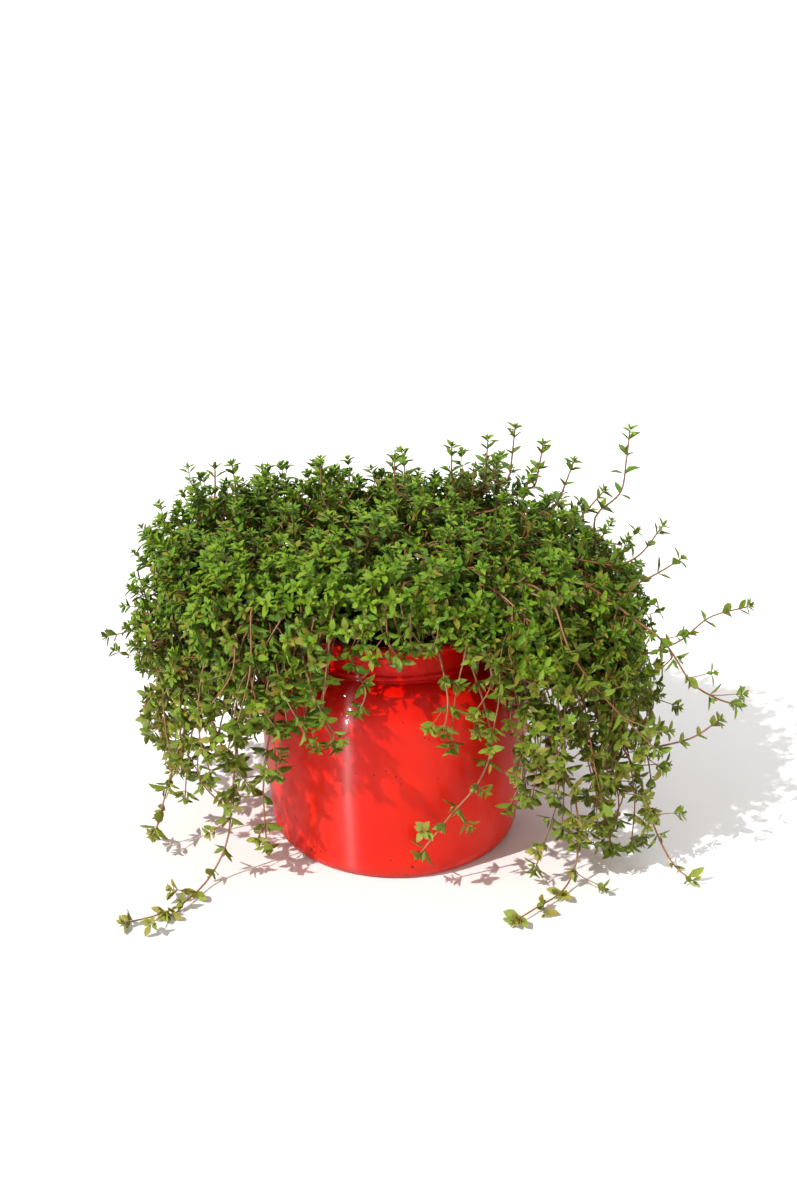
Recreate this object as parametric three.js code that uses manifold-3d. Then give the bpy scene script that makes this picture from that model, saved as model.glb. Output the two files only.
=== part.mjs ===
// Potted thyme: a glazed pot with a rounded shoulder and a narrow neck, filled with soil, and a creeping
// thyme whose leafy sprays rise from the soil, mound over the rim and trail down the sides to the surface
// that the pot stands on. Millimetres, +Z up, origin at the centre of the pot's flat base. The pot's front
// faces -Y.
import * as THREE from "three";
import { mergeVertices } from "three/addons/utils/BufferGeometryUtils.js";
import Module from "manifold-3d";

const wasm = await Module();
wasm.setup();

// Pot
const POT_HEIGHT = 128;
const BASE_RADIUS = 61; // flat part that the pot stands on
const HEEL_RADIUS = 66.6; // where the rounded heel meets the side
const HEEL_HEIGHT = 9;
const SHOULDER_RADIUS = 72.3; // widest part
const SHOULDER_HEIGHT = 86; // where the side starts to turn in
const NECK_RADIUS = 56.5;
const NECK_HEIGHT = 110; // foot of the neck, marked by a low bead
const BEAD_DEPTH = 1.2;
const BEAD_HEIGHT = 3.5;
const LIP_RADIUS = 58.5;
const LIP_HEIGHT = 6;
const RIM_ROUND = 2; // rounding of the rim's two edges
const WALL = 4.5;
const FLOOR = 6;
const POT_SIDES = 36;

// Soil
const SOIL_HEIGHT = 116;
const SEAT_GAP = 0.3; // between soil and pot
const HOLE_DEPTH = 8;
const HOLE_RADIUS = 2.4; // to the corners of the hole round each stem

// Outline of the foliage, by azimuth from the front
const MOUND_TOP = 186;
const FRONT_REACH = 76;
const SIDE_REACH = 143;
const BACK_REACH = 127;
const FRONT_WAIST = 146; // height of the widest place
const SIDE_WAIST = 118;
const FRONT_SKIRT = 132; // height of the lowest leaves of the mound
const SIDE_SKIRT = 34;
const BACK_SKIRT = 48;
const SKIRT_INSET = 0.12; // share of the reach by which the lowest leaves hang further in
const MOUND_SHARE = 0.62; // share of the outline's run that lies above the waist
const ROUNDNESS = 0.8; // exponent of the mound's flattened round top

// Stems and leaves
const STEM_THICK = 1.3; // radius at the root
const STEM_THIN = 0.8; // radius at the tip
const SHOOT_RADIUS = 0.55;
const STEM_SIDES = 4;
const LEAF_LENGTH = 12;
const LEAF_WIDTH = 7;
const LEAF_ROOT = 1.4; // height of a leaf's root on the stem
const LEAF_THICK = 1.3; // at the middle of the blade
const MOUND_LEAF = 1.4; // size of the mound's leaves against those of the trailing stems
const TIP_LEAF = 0.85; // size of the star of leaves at a tip against those below it
const BUD = 1.5; // height of the bud that closes a stem
const RING_APART = 6; // between a ring of the stem's own and the rings where leaves grow
const JOIN_TOLERANCE = 0.03; // slivers thinner than this, left where stems join, are taken out
const CLEARANCE = 0.45; // least distance between two sprays
const GROUND_GAP = 0.4; // between the lowest leaves and the surface that the pot stands on
const SHOOTS = 54; // side shoots shared among the sprays
const SHORTEST_SHOOT = 12;
const SHOOT_DEPTH = 3; // of a side shoot's tip below the outline

const DEG = Math.PI / 180;
const at = (azimuth, radius, height) =>
  new THREE.Vector3(radius * Math.sin(azimuth * DEG), -radius * Math.cos(azimuth * DEG), height);
const mix = (a, b, t) => a + (b - a) * t;
const smooth = (x, low, high) => {
  const t = Math.min(1, Math.max(0, (x - low) / (high - low)));
  return t * t * (3 - 2 * t);
};

// A repeatable random draw from 0 to 1 for a pair of whole numbers.
const draw = (a, b) => {
  const x = Math.sin(a * 12.9898 + b * 78.233) * 43758.5453;
  return x - Math.floor(x);
};

// The i-th number of a sequence that spreads evenly from 0 to 1: the digits of i in a base, in reverse.
const spread = (i, base) => (i === 0 ? 0 : ((i % base) + spread(Math.floor(i / base), base)) / base);

// How far round from the front an azimuth is, from 0 to 180 degrees.
const fromFront = (azimuth) => Math.abs(((((azimuth + 180) % 360) + 360) % 360) - 180);

// The foliage's outline: radius and height at an azimuth, and at a share v of the run from its top down to
// its lowest leaves.
function outline(azimuth, v) {
  const a = fromFront(azimuth);
  const side = smooth(a, 15, 85);
  const back = smooth(a, 100, 180);
  const reach = mix(FRONT_REACH, SIDE_REACH, side) + (BACK_REACH - SIDE_REACH) * back;
  const waist = mix(FRONT_WAIST, SIDE_WAIST, side);
  const skirt = mix(FRONT_SKIRT, SIDE_SKIRT, smooth(a, 22, 85)) + (BACK_SKIRT - SIDE_SKIRT) * back;
  if (v < MOUND_SHARE) {
    const t = (v / MOUND_SHARE) * (Math.PI / 2);
    return {
      radius: reach * Math.sin(t) ** ROUNDNESS,
      height: waist + (MOUND_TOP - waist) * Math.cos(t) ** ROUNDNESS,
    };
  }
  const w = (v - MOUND_SHARE) / (1 - MOUND_SHARE);
  return { radius: reach * (1 - SKIRT_INSET * w * w), height: mix(waist, skirt, w) };
}

// The outline's outward direction in the upright plane at an azimuth.
function outward(azimuth, v) {
  const a = outline(azimuth, Math.max(0, v - 0.02));
  const b = outline(azimuth, Math.min(1, v + 0.02));
  const direction = at(azimuth, -(b.height - a.height), 0);
  direction.z = b.radius - a.radius;
  return direction.normalize();
}

function solid(points, faces) {
  return new wasm.Manifold(
    new wasm.Mesh({
      numProp: 3,
      vertProperties: Float32Array.from(points.flatMap((p) => [p.x, p.y, p.z])),
      triVerts: Uint32Array.from(faces.flat()),
    }),
  );
}

const curve = (points, steps) =>
  new THREE.CatmullRomCurve3(points, false, "catmullrom", 0.5).getPoints(steps);

const lengthOf = (line) => line.slice(1).reduce((sum, p, i) => sum + p.distanceTo(line[i]), 0);

// The point at a distance along a line of points.
function pointAt(line, distance) {
  let left = Math.max(0, distance);
  for (let i = 1; i < line.length; i++) {
    const run = line[i].distanceTo(line[i - 1]);
    if (left <= run) return line[i - 1].clone().lerp(line[i], left / run);
    left -= run;
  }
  return line[line.length - 1].clone();
}

const directionAt = (line, distance) =>
  pointAt(line, distance + 1.5).sub(pointAt(line, distance - 1.5)).normalize();

// A tapering stem along a line of points, with a short ring of its own for each place where leaves grow.
// Each spot is a distance back from the tip, the sides that bear a leaf there, and the leaves' size and lift.
class Stem {
  constructor(line, thick, thin, turn = 0, spots = []) {
    const total = lengthOf(line);
    const places = spots.flatMap((spot) => [
      { s: total - spot.back - LEAF_ROOT / 2 },
      { s: total - spot.back + LEAF_ROOT / 2, spot },
    ]);
    let s = 0;
    const steps = line.map((p, i) => ({ s: (s += i ? p.distanceTo(line[i - 1]) : 0) }));
    const free = steps.filter((step) => places.every((place) => Math.abs(place.s - step.s) > RING_APART));
    this.line = line;
    this.leaves = [];
    this.spots = [];
    let across = new THREE.Vector3(1, 0, 0);
    this.rings = [...free, ...places]
      .sort((p, q) => p.s - q.s)
      .map(({ s: distance, spot }, ring) => {
        const centre = pointAt(line, distance);
        const along = directionAt(line, distance);
        across = across.clone().addScaledVector(along, -across.dot(along)).normalize();
        const first = across.clone().applyAxisAngle(along, turn);
        const radius = mix(thick, thin, distance / total);
        if (spot) this.spots.push({ ...spot, ring });
        return Array.from({ length: STEM_SIDES }, (_, k) =>
          first
            .clone()
            .applyAxisAngle(along, (k * 2 * Math.PI) / STEM_SIDES)
            .multiplyScalar(radius)
            .add(centre),
        );
      });
    this.start = line[0];
    this.bud = line[line.length - 1].clone().addScaledVector(directionAt(line, total), BUD);
  }

  // The corners of a leaf that grows from one side of the stem below a ring.
  leaf(ring, side, length, width, lift) {
    const next = (side + 1) % STEM_SIDES;
    const [a, b] = [this.rings[ring - 1][side], this.rings[ring - 1][next]];
    const [c, d] = [this.rings[ring][side], this.rings[ring][next]];
    const root = a.clone().add(b).add(c).add(d).multiplyScalar(0.25);
    const across = b.clone().sub(a).normalize();
    const along = c.clone().sub(a).normalize();
    const out = across.clone().cross(along).normalize();
    const way = out.clone().multiplyScalar(Math.cos(lift)).addScaledVector(along, Math.sin(lift));
    const up = way.clone().cross(across).normalize();
    const place = (l, w, h) =>
      root.clone().addScaledVector(way, l).addScaledVector(across, w).addScaledVector(up, h);
    return {
      ring,
      side,
      corners: [a, b, c, d],
      outline: [
        place(length * 0.5, -width / 2, 0),
        place(length * 0.5, width / 2, 0),
        place(length, 0, -length * 0.06),
        place(length * 0.48, 0, LEAF_THICK),
      ],
    };
  }

  // One closed body of the stem with its leaves.
  body() {
    const points = [this.start, ...this.rings.flat(), this.bud];
    const end = points.length - 1;
    const faces = [];
    for (let k = 0; k < STEM_SIDES; k++) {
      const next = (k + 1) % STEM_SIDES;
      faces.push([0, 1 + next, 1 + k], [end, end - STEM_SIDES + k, end - STEM_SIDES + next]);
      for (let r = 1; r < this.rings.length; r++) {
        const [a, b] = [1 + (r - 1) * STEM_SIDES + k, 1 + (r - 1) * STEM_SIDES + next];
        const [c, d] = [a + STEM_SIDES, b + STEM_SIDES];
        const grown = this.leaves.find(({ ring, side }) => ring === r && side === k);
        if (grown) faces.push(...leafFaces(a, b, c, d, points.push(...grown.outline) - 4));
        else faces.push([a, b, d], [a, d, c]);
      }
    }
    return solid(points, faces);
  }
}

// The faces of a leaf between the corners of its root, and its left, right, tip and ridge points.
function leafFaces(a, b, c, d, first) {
  const [left, right, tip, ridge] = [first, first + 1, first + 2, first + 3];
  return [
    [a, b, right],
    [a, right, left],
    [left, right, tip],
    [b, d, right],
    [c, a, left],
    [d, c, ridge],
    [c, left, ridge],
    [left, tip, ridge],
    [tip, right, ridge],
    [right, d, ridge],
  ];
}

const leafAlone = ({ corners, outline }) =>
  solid([...corners, ...outline], [...leafFaces(0, 1, 2, 3, 4), [0, 2, 3], [0, 3, 1]]);

// A spray is a main stem from the soil and the shoots that leave it, fused into one body.
const sprays = [];

// True if a solid would touch, or nearly touch, one of some pieces.
function meets(body, pieces) {
  const box = body.boundingBox();
  return pieces.some((piece) => {
    const apart = [0, 1, 2].some(
      (k) => box.min[k] > piece.box.max[k] + CLEARANCE || piece.box.min[k] > box.max[k] + CLEARANCE,
    );
    return !apart && body.minGap(piece.body, CLEARANCE) < CLEARANCE;
  });
}

// True if a solid stays clear of the ground, of the pot and of every spray but its own.
const isFree = (body, own) =>
  body.boundingBox().min[2] > GROUND_GAP &&
  !meets(body, potPieces) &&
  !sprays.some((spray) => spray !== own && meets(body, spray.pieces));

const claim = (spray, stem, body) => spray.pieces.push({ body, stem, box: body.boundingBox() });

// Adds a stem to a spray unless it would cross another spray.
function addStem(spray, stem) {
  const body = stem.body();
  if (!isFree(body, spray)) return false;
  claim(spray, stem, body);
  spray.stems.push(stem);
  return true;
}

// Grows the leaves of a stem, smaller where they would cross another stem or its leaves, and leaves out what
// still would.
const LEAF_SIZES = [1, 0.8, 0.6];
function growLeaves(spray, stem, seed) {
  const others = () => spray.pieces.filter((piece) => piece.stem !== stem);
  for (const { ring, sides, size, lift } of stem.spots) {
    for (const side of sides) {
      const vary = 0.9 + 0.2 * draw(seed + ring, side);
      for (const share of LEAF_SIZES) {
        const scale = size * vary * share;
        const leaf = stem.leaf(ring, side, LEAF_LENGTH * scale, LEAF_WIDTH * scale, lift + 0.3 * (vary - 1));
        const body = leafAlone(leaf);
        if (isFree(body, spray) && !meets(body, others())) {
          stem.leaves.push(leaf);
          claim(spray, stem, body);
          break;
        }
      }
    }
  }
}

// A star of leaves at the tip, and leaves below it: opposite pairs, each a quarter turn from the last, or
// fours.
const ALL_SIDES = [0, 1, 2, 3];
function leafSpots(places, spacing, size, fours = false) {
  const star = { back: LEAF_ROOT / 2, sides: ALL_SIDES, size: size * TIP_LEAF, lift: 0.6 };
  const below = Array.from({ length: places }, (_, n) => ({
    back: (n + 1) * spacing,
    sides: ALL_SIDES.filter((side) => fours || side % 2 === n % 2),
    size,
    lift: 0.35,
  }));
  return [...below, star];
}

// Sprays of the mound: rings of stems that leave the soil upright and arch out, the outer below the inner.
const RINGS = [
  { name: "crown", v: 0, count: 1, root: 0, start: 0, span: 360, steps: 3 },
  { name: "upper", v: 0.11, count: 5, root: 12, start: 20, span: 360, steps: 4 },
  { name: "middle", v: 0.23, count: 8, root: 23, start: 0, span: 360, steps: 5 },
  { name: "lower", v: 0.38, count: 10, root: 32, start: 18, span: 360, steps: 5 },
  { name: "outer", v: 0.56, count: 8, root: 40, start: 50, span: 296, steps: 6 },
];
const TIP_DEPTH = 14; // of a main stem's tip below the outline
const ARCH_HEIGHT = 158; // that the outer stems rise to before they arch down

function moundSprays() {
  RINGS.forEach(({ name, v, count, root, start, span, steps }, ring) => {
    for (let j = 0; j < count; j++) {
      const azimuth = start + (span * j) / count + (count > 1 ? 8 * (draw(ring, j) - 0.5) : 0);
      const edge = outline(azimuth, v);
      const tip = at(azimuth, edge.radius, edge.height).addScaledVector(outward(azimuth, v), -TIP_DEPTH);
      const reach = Math.hypot(tip.x, tip.y);
      const peak = Math.max(mix(SOIL_HEIGHT, tip.z, 0.85), mix(tip.z, ARCH_HEIGHT, 0.9));
      const swing = azimuth + 6 * (draw(ring + 20, j) - 0.5);
      const line = curve(
        [
          at(azimuth, root, SOIL_HEIGHT),
          at(azimuth, mix(root, reach, 0.08), mix(SOIL_HEIGHT, peak, 0.6)),
          at(swing, mix(root, reach, 0.42), peak),
          tip,
        ],
        steps,
      );
      addSpray(`${name}_spray_${j + 1}`, line, leafSpots(2, 10, MOUND_LEAF, true));
    }
  });
}

// Adds a spray's main stem, turned a little about the pot's axis where it would cross another.
const TURNS = [0, 1.5, -1.5, 3, -3, 4.5, -4.5, 6, -6, 7.5, -7.5, 9, -9];
const UP = new THREE.Vector3(0, 0, 1);
function addSpray(name, route, spots) {
  for (const turn of TURNS) {
    const line = route.map((p) => p.clone().applyAxisAngle(UP, turn * DEG));
    const foot = line[0].clone().setZ(SOIL_HEIGHT - HOLE_DEPTH + SEAT_GAP);
    const spray = { name, line, stems: [], pieces: [] };
    const stem = new Stem([foot, ...line], STEM_THICK, STEM_THIN, sprays.length, spots);
    if (addStem(spray, stem)) {
      sprays.push(spray);
      return;
    }
  }
  throw new Error(`the stem of ${name} crosses another`);
}

// Stems that trail over the rim: where they stand in the soil, and the points that they pass on the way down.
const RIM_CROSSING = { radius: 59, height: 139 };
const TRAILS = [
  { name: "front_left_inner", root: [-14, 47], way: [[-21, -62, 125], [-14, -76, 116], [-17, -78, 105]] },
  { name: "front_left_outer", root: [-27, 47], way: [[-32, -62, 126], [-33, -72, 116], [-38, -73, 101]] },
  {
    name: "left_front_low",
    root: [-41, 47],
    way: [[-48, -60, 123], [-60, -68, 94], [-66, -64, 58], [-66, -60, 17]],
  },
  {
    name: "left_front_long",
    root: [-54, 47],
    way: [
      [-60, -50, 125], [-76, -62, 92], [-82, -62, 52], [-86, -62, 22], [-95, -70, 5], [-106, -90, 3],
      [-118, -101, 3], [-133, -108, 3],
    ],
  },
  {
    name: "left_low",
    root: [-69, 47],
    way: [[-80, -32, 121], [-102, -36, 89], [-116, -36, 48], [-127, -35, 10]],
  },
  {
    name: "left_middle",
    root: [-84, 47],
    way: [[-84, -12, 116], [-102, -12, 80], [-110, -13, 45], [-113, -15, 20]],
  },
  { name: "left_back", root: [-108, 47], way: [[-90, 30, 110], [-118, 40, 70], [-128, 44, 28]] },
  { name: "front_right_inner", root: [17, 47], way: [[22, -62, 128], [26, -78, 111], [24, -79, 94]] },
  {
    name: "front_right_long",
    root: [30, 47],
    way: [[36, -60, 127], [48, -66, 86], [43, -69, 62], [28, -74, 44], [13, -76, 23]],
  },
  {
    name: "right_front_long",
    root: [44, 47],
    way: [
      [54, -52, 125], [72, -66, 94], [90, -67, 54], [94, -66, 20], [90, -73, 6], [83, -83, 3], [73, -93, 3],
      [60, -106, 3],
    ],
  },
  {
    name: "right_front_thick",
    root: [50, 41],
    way: [[54, -44, 156], [70, -60, 154], [79, -72, 130], [97, -75, 105], [127, -68, 70]],
    high: true,
  },
  {
    name: "right_middle",
    root: [57, 47],
    way: [[65, -42, 126], [88, -56, 96], [104, -57, 50], [113, -56, 13]],
  },
  {
    name: "right_low",
    root: [68, 47],
    way: [[70, -28, 123], [99, -42, 94], [124, -46, 54], [136, -48, 20], [145, -55, 4], [153, -70, 3]],
  },
  {
    name: "right_far",
    root: [78, 41],
    way: [[84, -20, 153], [123, -36, 133], [137, -40, 122], [150, -42, 103], [163, -42, 94], [174, -42, 90]],
    high: true,
  },
  { name: "right_back", root: [108, 47], way: [[88, 28, 116], [124, 36, 74], [139, 31, 34]] },
];
const PAIR_SPACING = 27; // along the trailing stems
const BARE_LENGTH = 55; // without leaves, from the soil over the rim
const BACK_TRAILS = { count: 5, first: 134, apart: 25, root: 47 };
const BACK_FALL = { radius: 84, height: 122 }; // where they turn down

function trailSpots(line) {
  const pairs = Math.floor((lengthOf(line) - BARE_LENGTH) / PAIR_SPACING);
  return leafSpots(pairs, PAIR_SPACING, 1);
}

function trailSprays() {
  for (const { name, root, way, high } of TRAILS) {
    const [azimuth, radius] = root;
    const over = high ? [] : [at(azimuth, RIM_CROSSING.radius, RIM_CROSSING.height)];
    const rise = at(azimuth, radius + 2, high ? 140 : 130);
    const points = way.map((p) => new THREE.Vector3(...p));
    const line = curve([at(azimuth, radius, SOIL_HEIGHT), rise, ...over, ...points], 3 + way.length);
    addSpray(`trail_${name}`, line, trailSpots(line));
  }
  for (let j = 0; j < BACK_TRAILS.count; j++) {
    const azimuth = BACK_TRAILS.first + BACK_TRAILS.apart * j;
    const low = outline(azimuth, 0.93 + 0.07 * draw(j, 31));
    const points = [
      at(azimuth, BACK_TRAILS.root, SOIL_HEIGHT),
      at(azimuth, BACK_TRAILS.root + 2, 130),
      at(azimuth, RIM_CROSSING.radius, RIM_CROSSING.height),
      at(azimuth, BACK_FALL.radius, BACK_FALL.height),
      at(
        azimuth + 5 * (draw(j, 32) - 0.5),
        mix(BACK_FALL.radius, low.radius, 0.65),
        mix(BACK_FALL.height, low.height, 0.45),
      ),
      at(azimuth + 8 * (draw(j, 33) - 0.5), low.radius - 10, low.height),
    ];
    const line = curve(points, 8);
    addSpray(`trail_back_${j + 1}`, line, trailSpots(line));
  }
}

// Shoots that stand out of the mound: the points that they pass, from inside the mound to the tip.
const LONG_SHOOTS = [
  [[106, 10, 176], [116, 10, 186], [118, 10, 203], [119, 10, 219]],
  [[110, 0, 146], [126, 0, 155], [137, 0, 171]],
  [[122, -20, 147], [134, -20, 154], [144, -20, 161]],
  [[132, -18, 108], [147, -20, 116], [161, -20, 129], [180, -20, 135]],
  [[132, -44, 66], [152, -44, 72], [165, -44, 82]],
  [[-128, 2, 116], [-142, 2, 110], [-151, 2, 108]],
  [[61, 38, 186], [63, 40, 210]],
  [[30, 40, 184], [30, 42, 199]],
  [[0, 38, 180], [0, 40, 193]],
  [[-39, 38, 178], [-39, 40, 190]],
  [[-95, 36, 176], [-95, 40, 188]],
];

// The spray whose stem passes nearest to a point, with the place on it that a shoot to that point leaves.
function nearestStem(point, back) {
  let best = { distance: Infinity };
  for (const spray of sprays) {
    spray.line.forEach((p, i) => {
      const distance = p.distanceTo(point);
      if (i >= spray.line.length * 0.4 && distance < best.distance) best = { spray, i, distance };
    });
  }
  const { line } = best.spray;
  let start = Math.min(best.i, line.length - 2);
  while (start > 1 && line[start].distanceTo(point) < best.distance + back) start--;
  const next = line[start + 1];
  return { spray: best.spray, from: line[start].clone().lerp(next, 0.5), next };
}

function shootLine(point, direction, steps, back) {
  const { spray, from, next } = nearestStem(point, back);
  const length = from.distanceTo(point);
  const onward = next.clone().sub(from).normalize();
  const heading = point.clone().sub(from).normalize().add(onward).normalize();
  const bow = new THREE.CubicBezierCurve3(
    from,
    from.clone().addScaledVector(heading, length * 0.35),
    point.clone().addScaledVector(direction, -length * 0.4),
    point,
  );
  return { spray, line: bow.getPoints(steps) };
}

function longShoots() {
  LONG_SHOOTS.forEach((way, n) => {
    const points = way.map((p) => new THREE.Vector3(...p));
    const direction = points[1].clone().sub(points[0]).normalize();
    const { spray, line } = shootLine(points[0], direction, 3, 6);
    const all = [...line, ...curve(points, way.length).slice(1)];
    const stem = new Stem(all, SHOOT_RADIUS, SHOOT_RADIUS, n, leafSpots(way.length - 1, 12, 1));
    if (!addStem(spray, stem)) throw new Error(`long shoot ${n} crosses a spray`);
  });
}

// Points spread evenly over the outline of the foliage, each with the outward direction there. Fewer are kept
// where the outline is narrower.
function* outlinePoints() {
  for (let i = 1; ; i++) {
    const azimuth = 360 * spread(i, 2);
    const share = spread(i, 3);
    const above = share < 0.5;
    const v = above
      ? (MOUND_SHARE * Math.acos(1 - 2 * share)) / (Math.PI / 2)
      : mix(MOUND_SHARE, 1, 2 * share - 1);
    const reach = outline(azimuth, MOUND_SHARE).radius / SIDE_REACH;
    const waist = outline(azimuth, MOUND_SHARE).height;
    const drop = (waist - outline(azimuth, 1).height) / (SIDE_WAIST - SIDE_SKIRT);
    if (spread(i, 5) < (above ? reach * reach : reach * drop)) {
      const edge = outline(azimuth, v);
      const normal = outward(azimuth, v);
      yield { point: at(azimuth, edge.radius, edge.height).addScaledVector(normal, -SHOOT_DEPTH), normal };
    }
  }
}

const isMound = ({ name }) => !name.startsWith("trail");

function sideShoots() {
  const points = outlinePoints();
  for (let n = 0; n < SHOOTS; n++) {
    const { point, normal } = points.next().value;
    const { spray, line } = shootLine(point, normal, 2, 14);
    const spots = leafSpots(0, 0, isMound(spray) ? MOUND_LEAF : 1);
    const stem = new Stem(line, SHOOT_RADIUS, SHOOT_RADIUS, n, spots);
    if (lengthOf(line) > SHORTEST_SHOOT) addStem(spray, stem);
  }
}

const bare = (geometry) => geometry.clone().deleteAttribute("normal").deleteAttribute("uv");
const fromGeometry = (geometry) => {
  const merged = mergeVertices(bare(geometry), 1e-4);
  return new wasm.Manifold(
    new wasm.Mesh({
      numProp: 3,
      vertProperties: merged.getAttribute("position").array,
      triVerts: Uint32Array.from(merged.index.array),
    }),
  );
};

function toGeometry(body) {
  const made = body.getMesh();
  const flat = new THREE.BufferGeometry()
    .setAttribute("position", new THREE.BufferAttribute(Float32Array.from(made.vertProperties), 3))
    .setIndex(new THREE.BufferAttribute(Uint32Array.from(made.triVerts), 1))
    .toNonIndexed();
  flat.computeVertexNormals();
  return flat;
}

// A body of revolution about Z from a profile of radius and height that starts and ends on the axis.
const turned = (profile) =>
  new THREE.LatheGeometry(profile.map(([r, z]) => new THREE.Vector2(r, z)), POT_SIDES).rotateX(Math.PI / 2);

const arc = (centre, radii, from, to, steps) =>
  Array.from({ length: steps + 1 }, (_, k) => {
    const a = mix(from, to, k / steps) * DEG;
    return [centre[0] + radii[0] * Math.cos(a), centre[1] + radii[1] * Math.sin(a)];
  });

// The inside of the pot, from the middle of its floor up to the neck.
const INNER_NECK = NECK_RADIUS - WALL;
const INNER_HEEL = HEEL_RADIUS - WALL;
const INNER_SHOULDER = SHOULDER_RADIUS - WALL;
const INNER_TURN = [INNER_SHOULDER - INNER_NECK, NECK_HEIGHT - SHOULDER_HEIGHT - WALL];
const insideProfile = (gap, top) => [
  [0, FLOOR + gap],
  [INNER_HEEL - gap, FLOOR + gap],
  ...arc([INNER_NECK - gap, SHOULDER_HEIGHT], INNER_TURN, 0, 90, 2),
  [INNER_NECK - gap, top],
];

function potBody() {
  const shoulder = [SHOULDER_RADIUS - NECK_RADIUS, NECK_HEIGHT - SHOULDER_HEIGHT];
  const outside = [
    [0, 0],
    ...arc([BASE_RADIUS, HEEL_HEIGHT], [HEEL_RADIUS - BASE_RADIUS, HEEL_HEIGHT], -90, 0, 3),
    ...arc([NECK_RADIUS, SHOULDER_HEIGHT], shoulder, 0, 80, 4),
    [NECK_RADIUS + BEAD_DEPTH, NECK_HEIGHT + BEAD_HEIGHT / 2],
    [NECK_RADIUS, NECK_HEIGHT + BEAD_HEIGHT],
    [NECK_RADIUS, POT_HEIGHT - LIP_HEIGHT],
    [LIP_RADIUS, POT_HEIGHT - RIM_ROUND],
    [LIP_RADIUS - RIM_ROUND, POT_HEIGHT],
    [INNER_NECK + RIM_ROUND, POT_HEIGHT],
  ];
  const inside = insideProfile(0, POT_HEIGHT - RIM_ROUND).reverse();
  return fromGeometry(turned([...outside, ...inside]));
}

function soilBody() {
  const profile = insideProfile(SEAT_GAP, SOIL_HEIGHT);
  let body = fromGeometry(turned([...profile, [0, SOIL_HEIGHT]]));
  for (const { line } of sprays) {
    const hole = new THREE.CylinderGeometry(HOLE_RADIUS, HOLE_RADIUS, 2 * HOLE_DEPTH, STEM_SIDES);
    hole.rotateX(Math.PI / 2).translate(line[0].x, line[0].y, SOIL_HEIGHT);
    body = body.subtract(fromGeometry(hole));
  }
  return body;
}

const finish = (color, roughness) => new THREE.MeshStandardMaterial({ color, roughness, metalness: 0 });
const glaze = finish("#d3200f", 0.15);
const earth = finish("#3a2a1e", 0.95);
const foliage = finish("#4f8420", 0.5);

const group = new THREE.Group();
function show(name, body, material) {
  const mesh = new THREE.Mesh(toGeometry(body), material);
  mesh.name = name;
  group.add(mesh);
}

const pot = potBody();
const potPieces = [{ body: pot, box: pot.boundingBox() }];
moundSprays();
trailSprays();
longShoots();
sideShoots();
for (const spray of sprays) spray.stems.forEach((stem, n) => growLeaves(spray, stem, 10 * n));

show("pot", pot, glaze);
show("soil", soilBody(), earth);
for (const spray of sprays) {
  const joined = wasm.Manifold.union(spray.stems.map((stem) => stem.body()));
  show(spray.name, joined.simplify(JOIN_TOLERANCE), foliage);
}

export default group;
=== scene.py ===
"""Looks of the potted thyme: a red glazed pot, crumbly soil, and fine stems and leaves on every spray.

The growth below is worked out in millimetres, on the same outline and the same routes as the solids that it
replaces, and becomes meshes in metres. The front of the pot faces -Y.
"""
from math import acos, asin, atan2, cos, degrees, exp, floor, hypot, pi, radians, sin, sqrt

import bpy
import numpy as np
from numpy.linalg import norm
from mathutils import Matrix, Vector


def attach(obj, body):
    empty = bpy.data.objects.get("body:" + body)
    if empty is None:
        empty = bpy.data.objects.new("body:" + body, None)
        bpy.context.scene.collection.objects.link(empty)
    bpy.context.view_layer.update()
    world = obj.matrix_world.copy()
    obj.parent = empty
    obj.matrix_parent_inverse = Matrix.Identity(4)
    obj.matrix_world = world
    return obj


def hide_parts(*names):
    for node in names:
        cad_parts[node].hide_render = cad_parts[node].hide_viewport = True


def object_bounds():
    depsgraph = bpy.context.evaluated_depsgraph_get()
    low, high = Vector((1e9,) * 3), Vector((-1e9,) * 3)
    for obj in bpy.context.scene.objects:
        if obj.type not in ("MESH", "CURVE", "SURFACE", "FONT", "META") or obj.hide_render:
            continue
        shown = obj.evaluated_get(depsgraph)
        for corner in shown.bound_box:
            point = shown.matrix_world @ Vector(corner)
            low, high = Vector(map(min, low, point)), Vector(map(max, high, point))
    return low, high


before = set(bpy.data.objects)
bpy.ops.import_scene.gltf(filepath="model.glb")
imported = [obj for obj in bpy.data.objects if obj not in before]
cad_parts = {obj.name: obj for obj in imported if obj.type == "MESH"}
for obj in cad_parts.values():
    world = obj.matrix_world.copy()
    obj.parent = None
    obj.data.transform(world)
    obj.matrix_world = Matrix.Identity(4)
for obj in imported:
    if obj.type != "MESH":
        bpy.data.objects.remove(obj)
cad_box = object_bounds()

MM = 0.001
UP = np.array([0.0, 0.0, 1.0])
BOX_MARGIN = 3.0
BOX_LOW = np.array(cad_box[0]) / MM - BOX_MARGIN
BOX_HIGH = np.array(cad_box[1]) / MM + BOX_MARGIN

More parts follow.
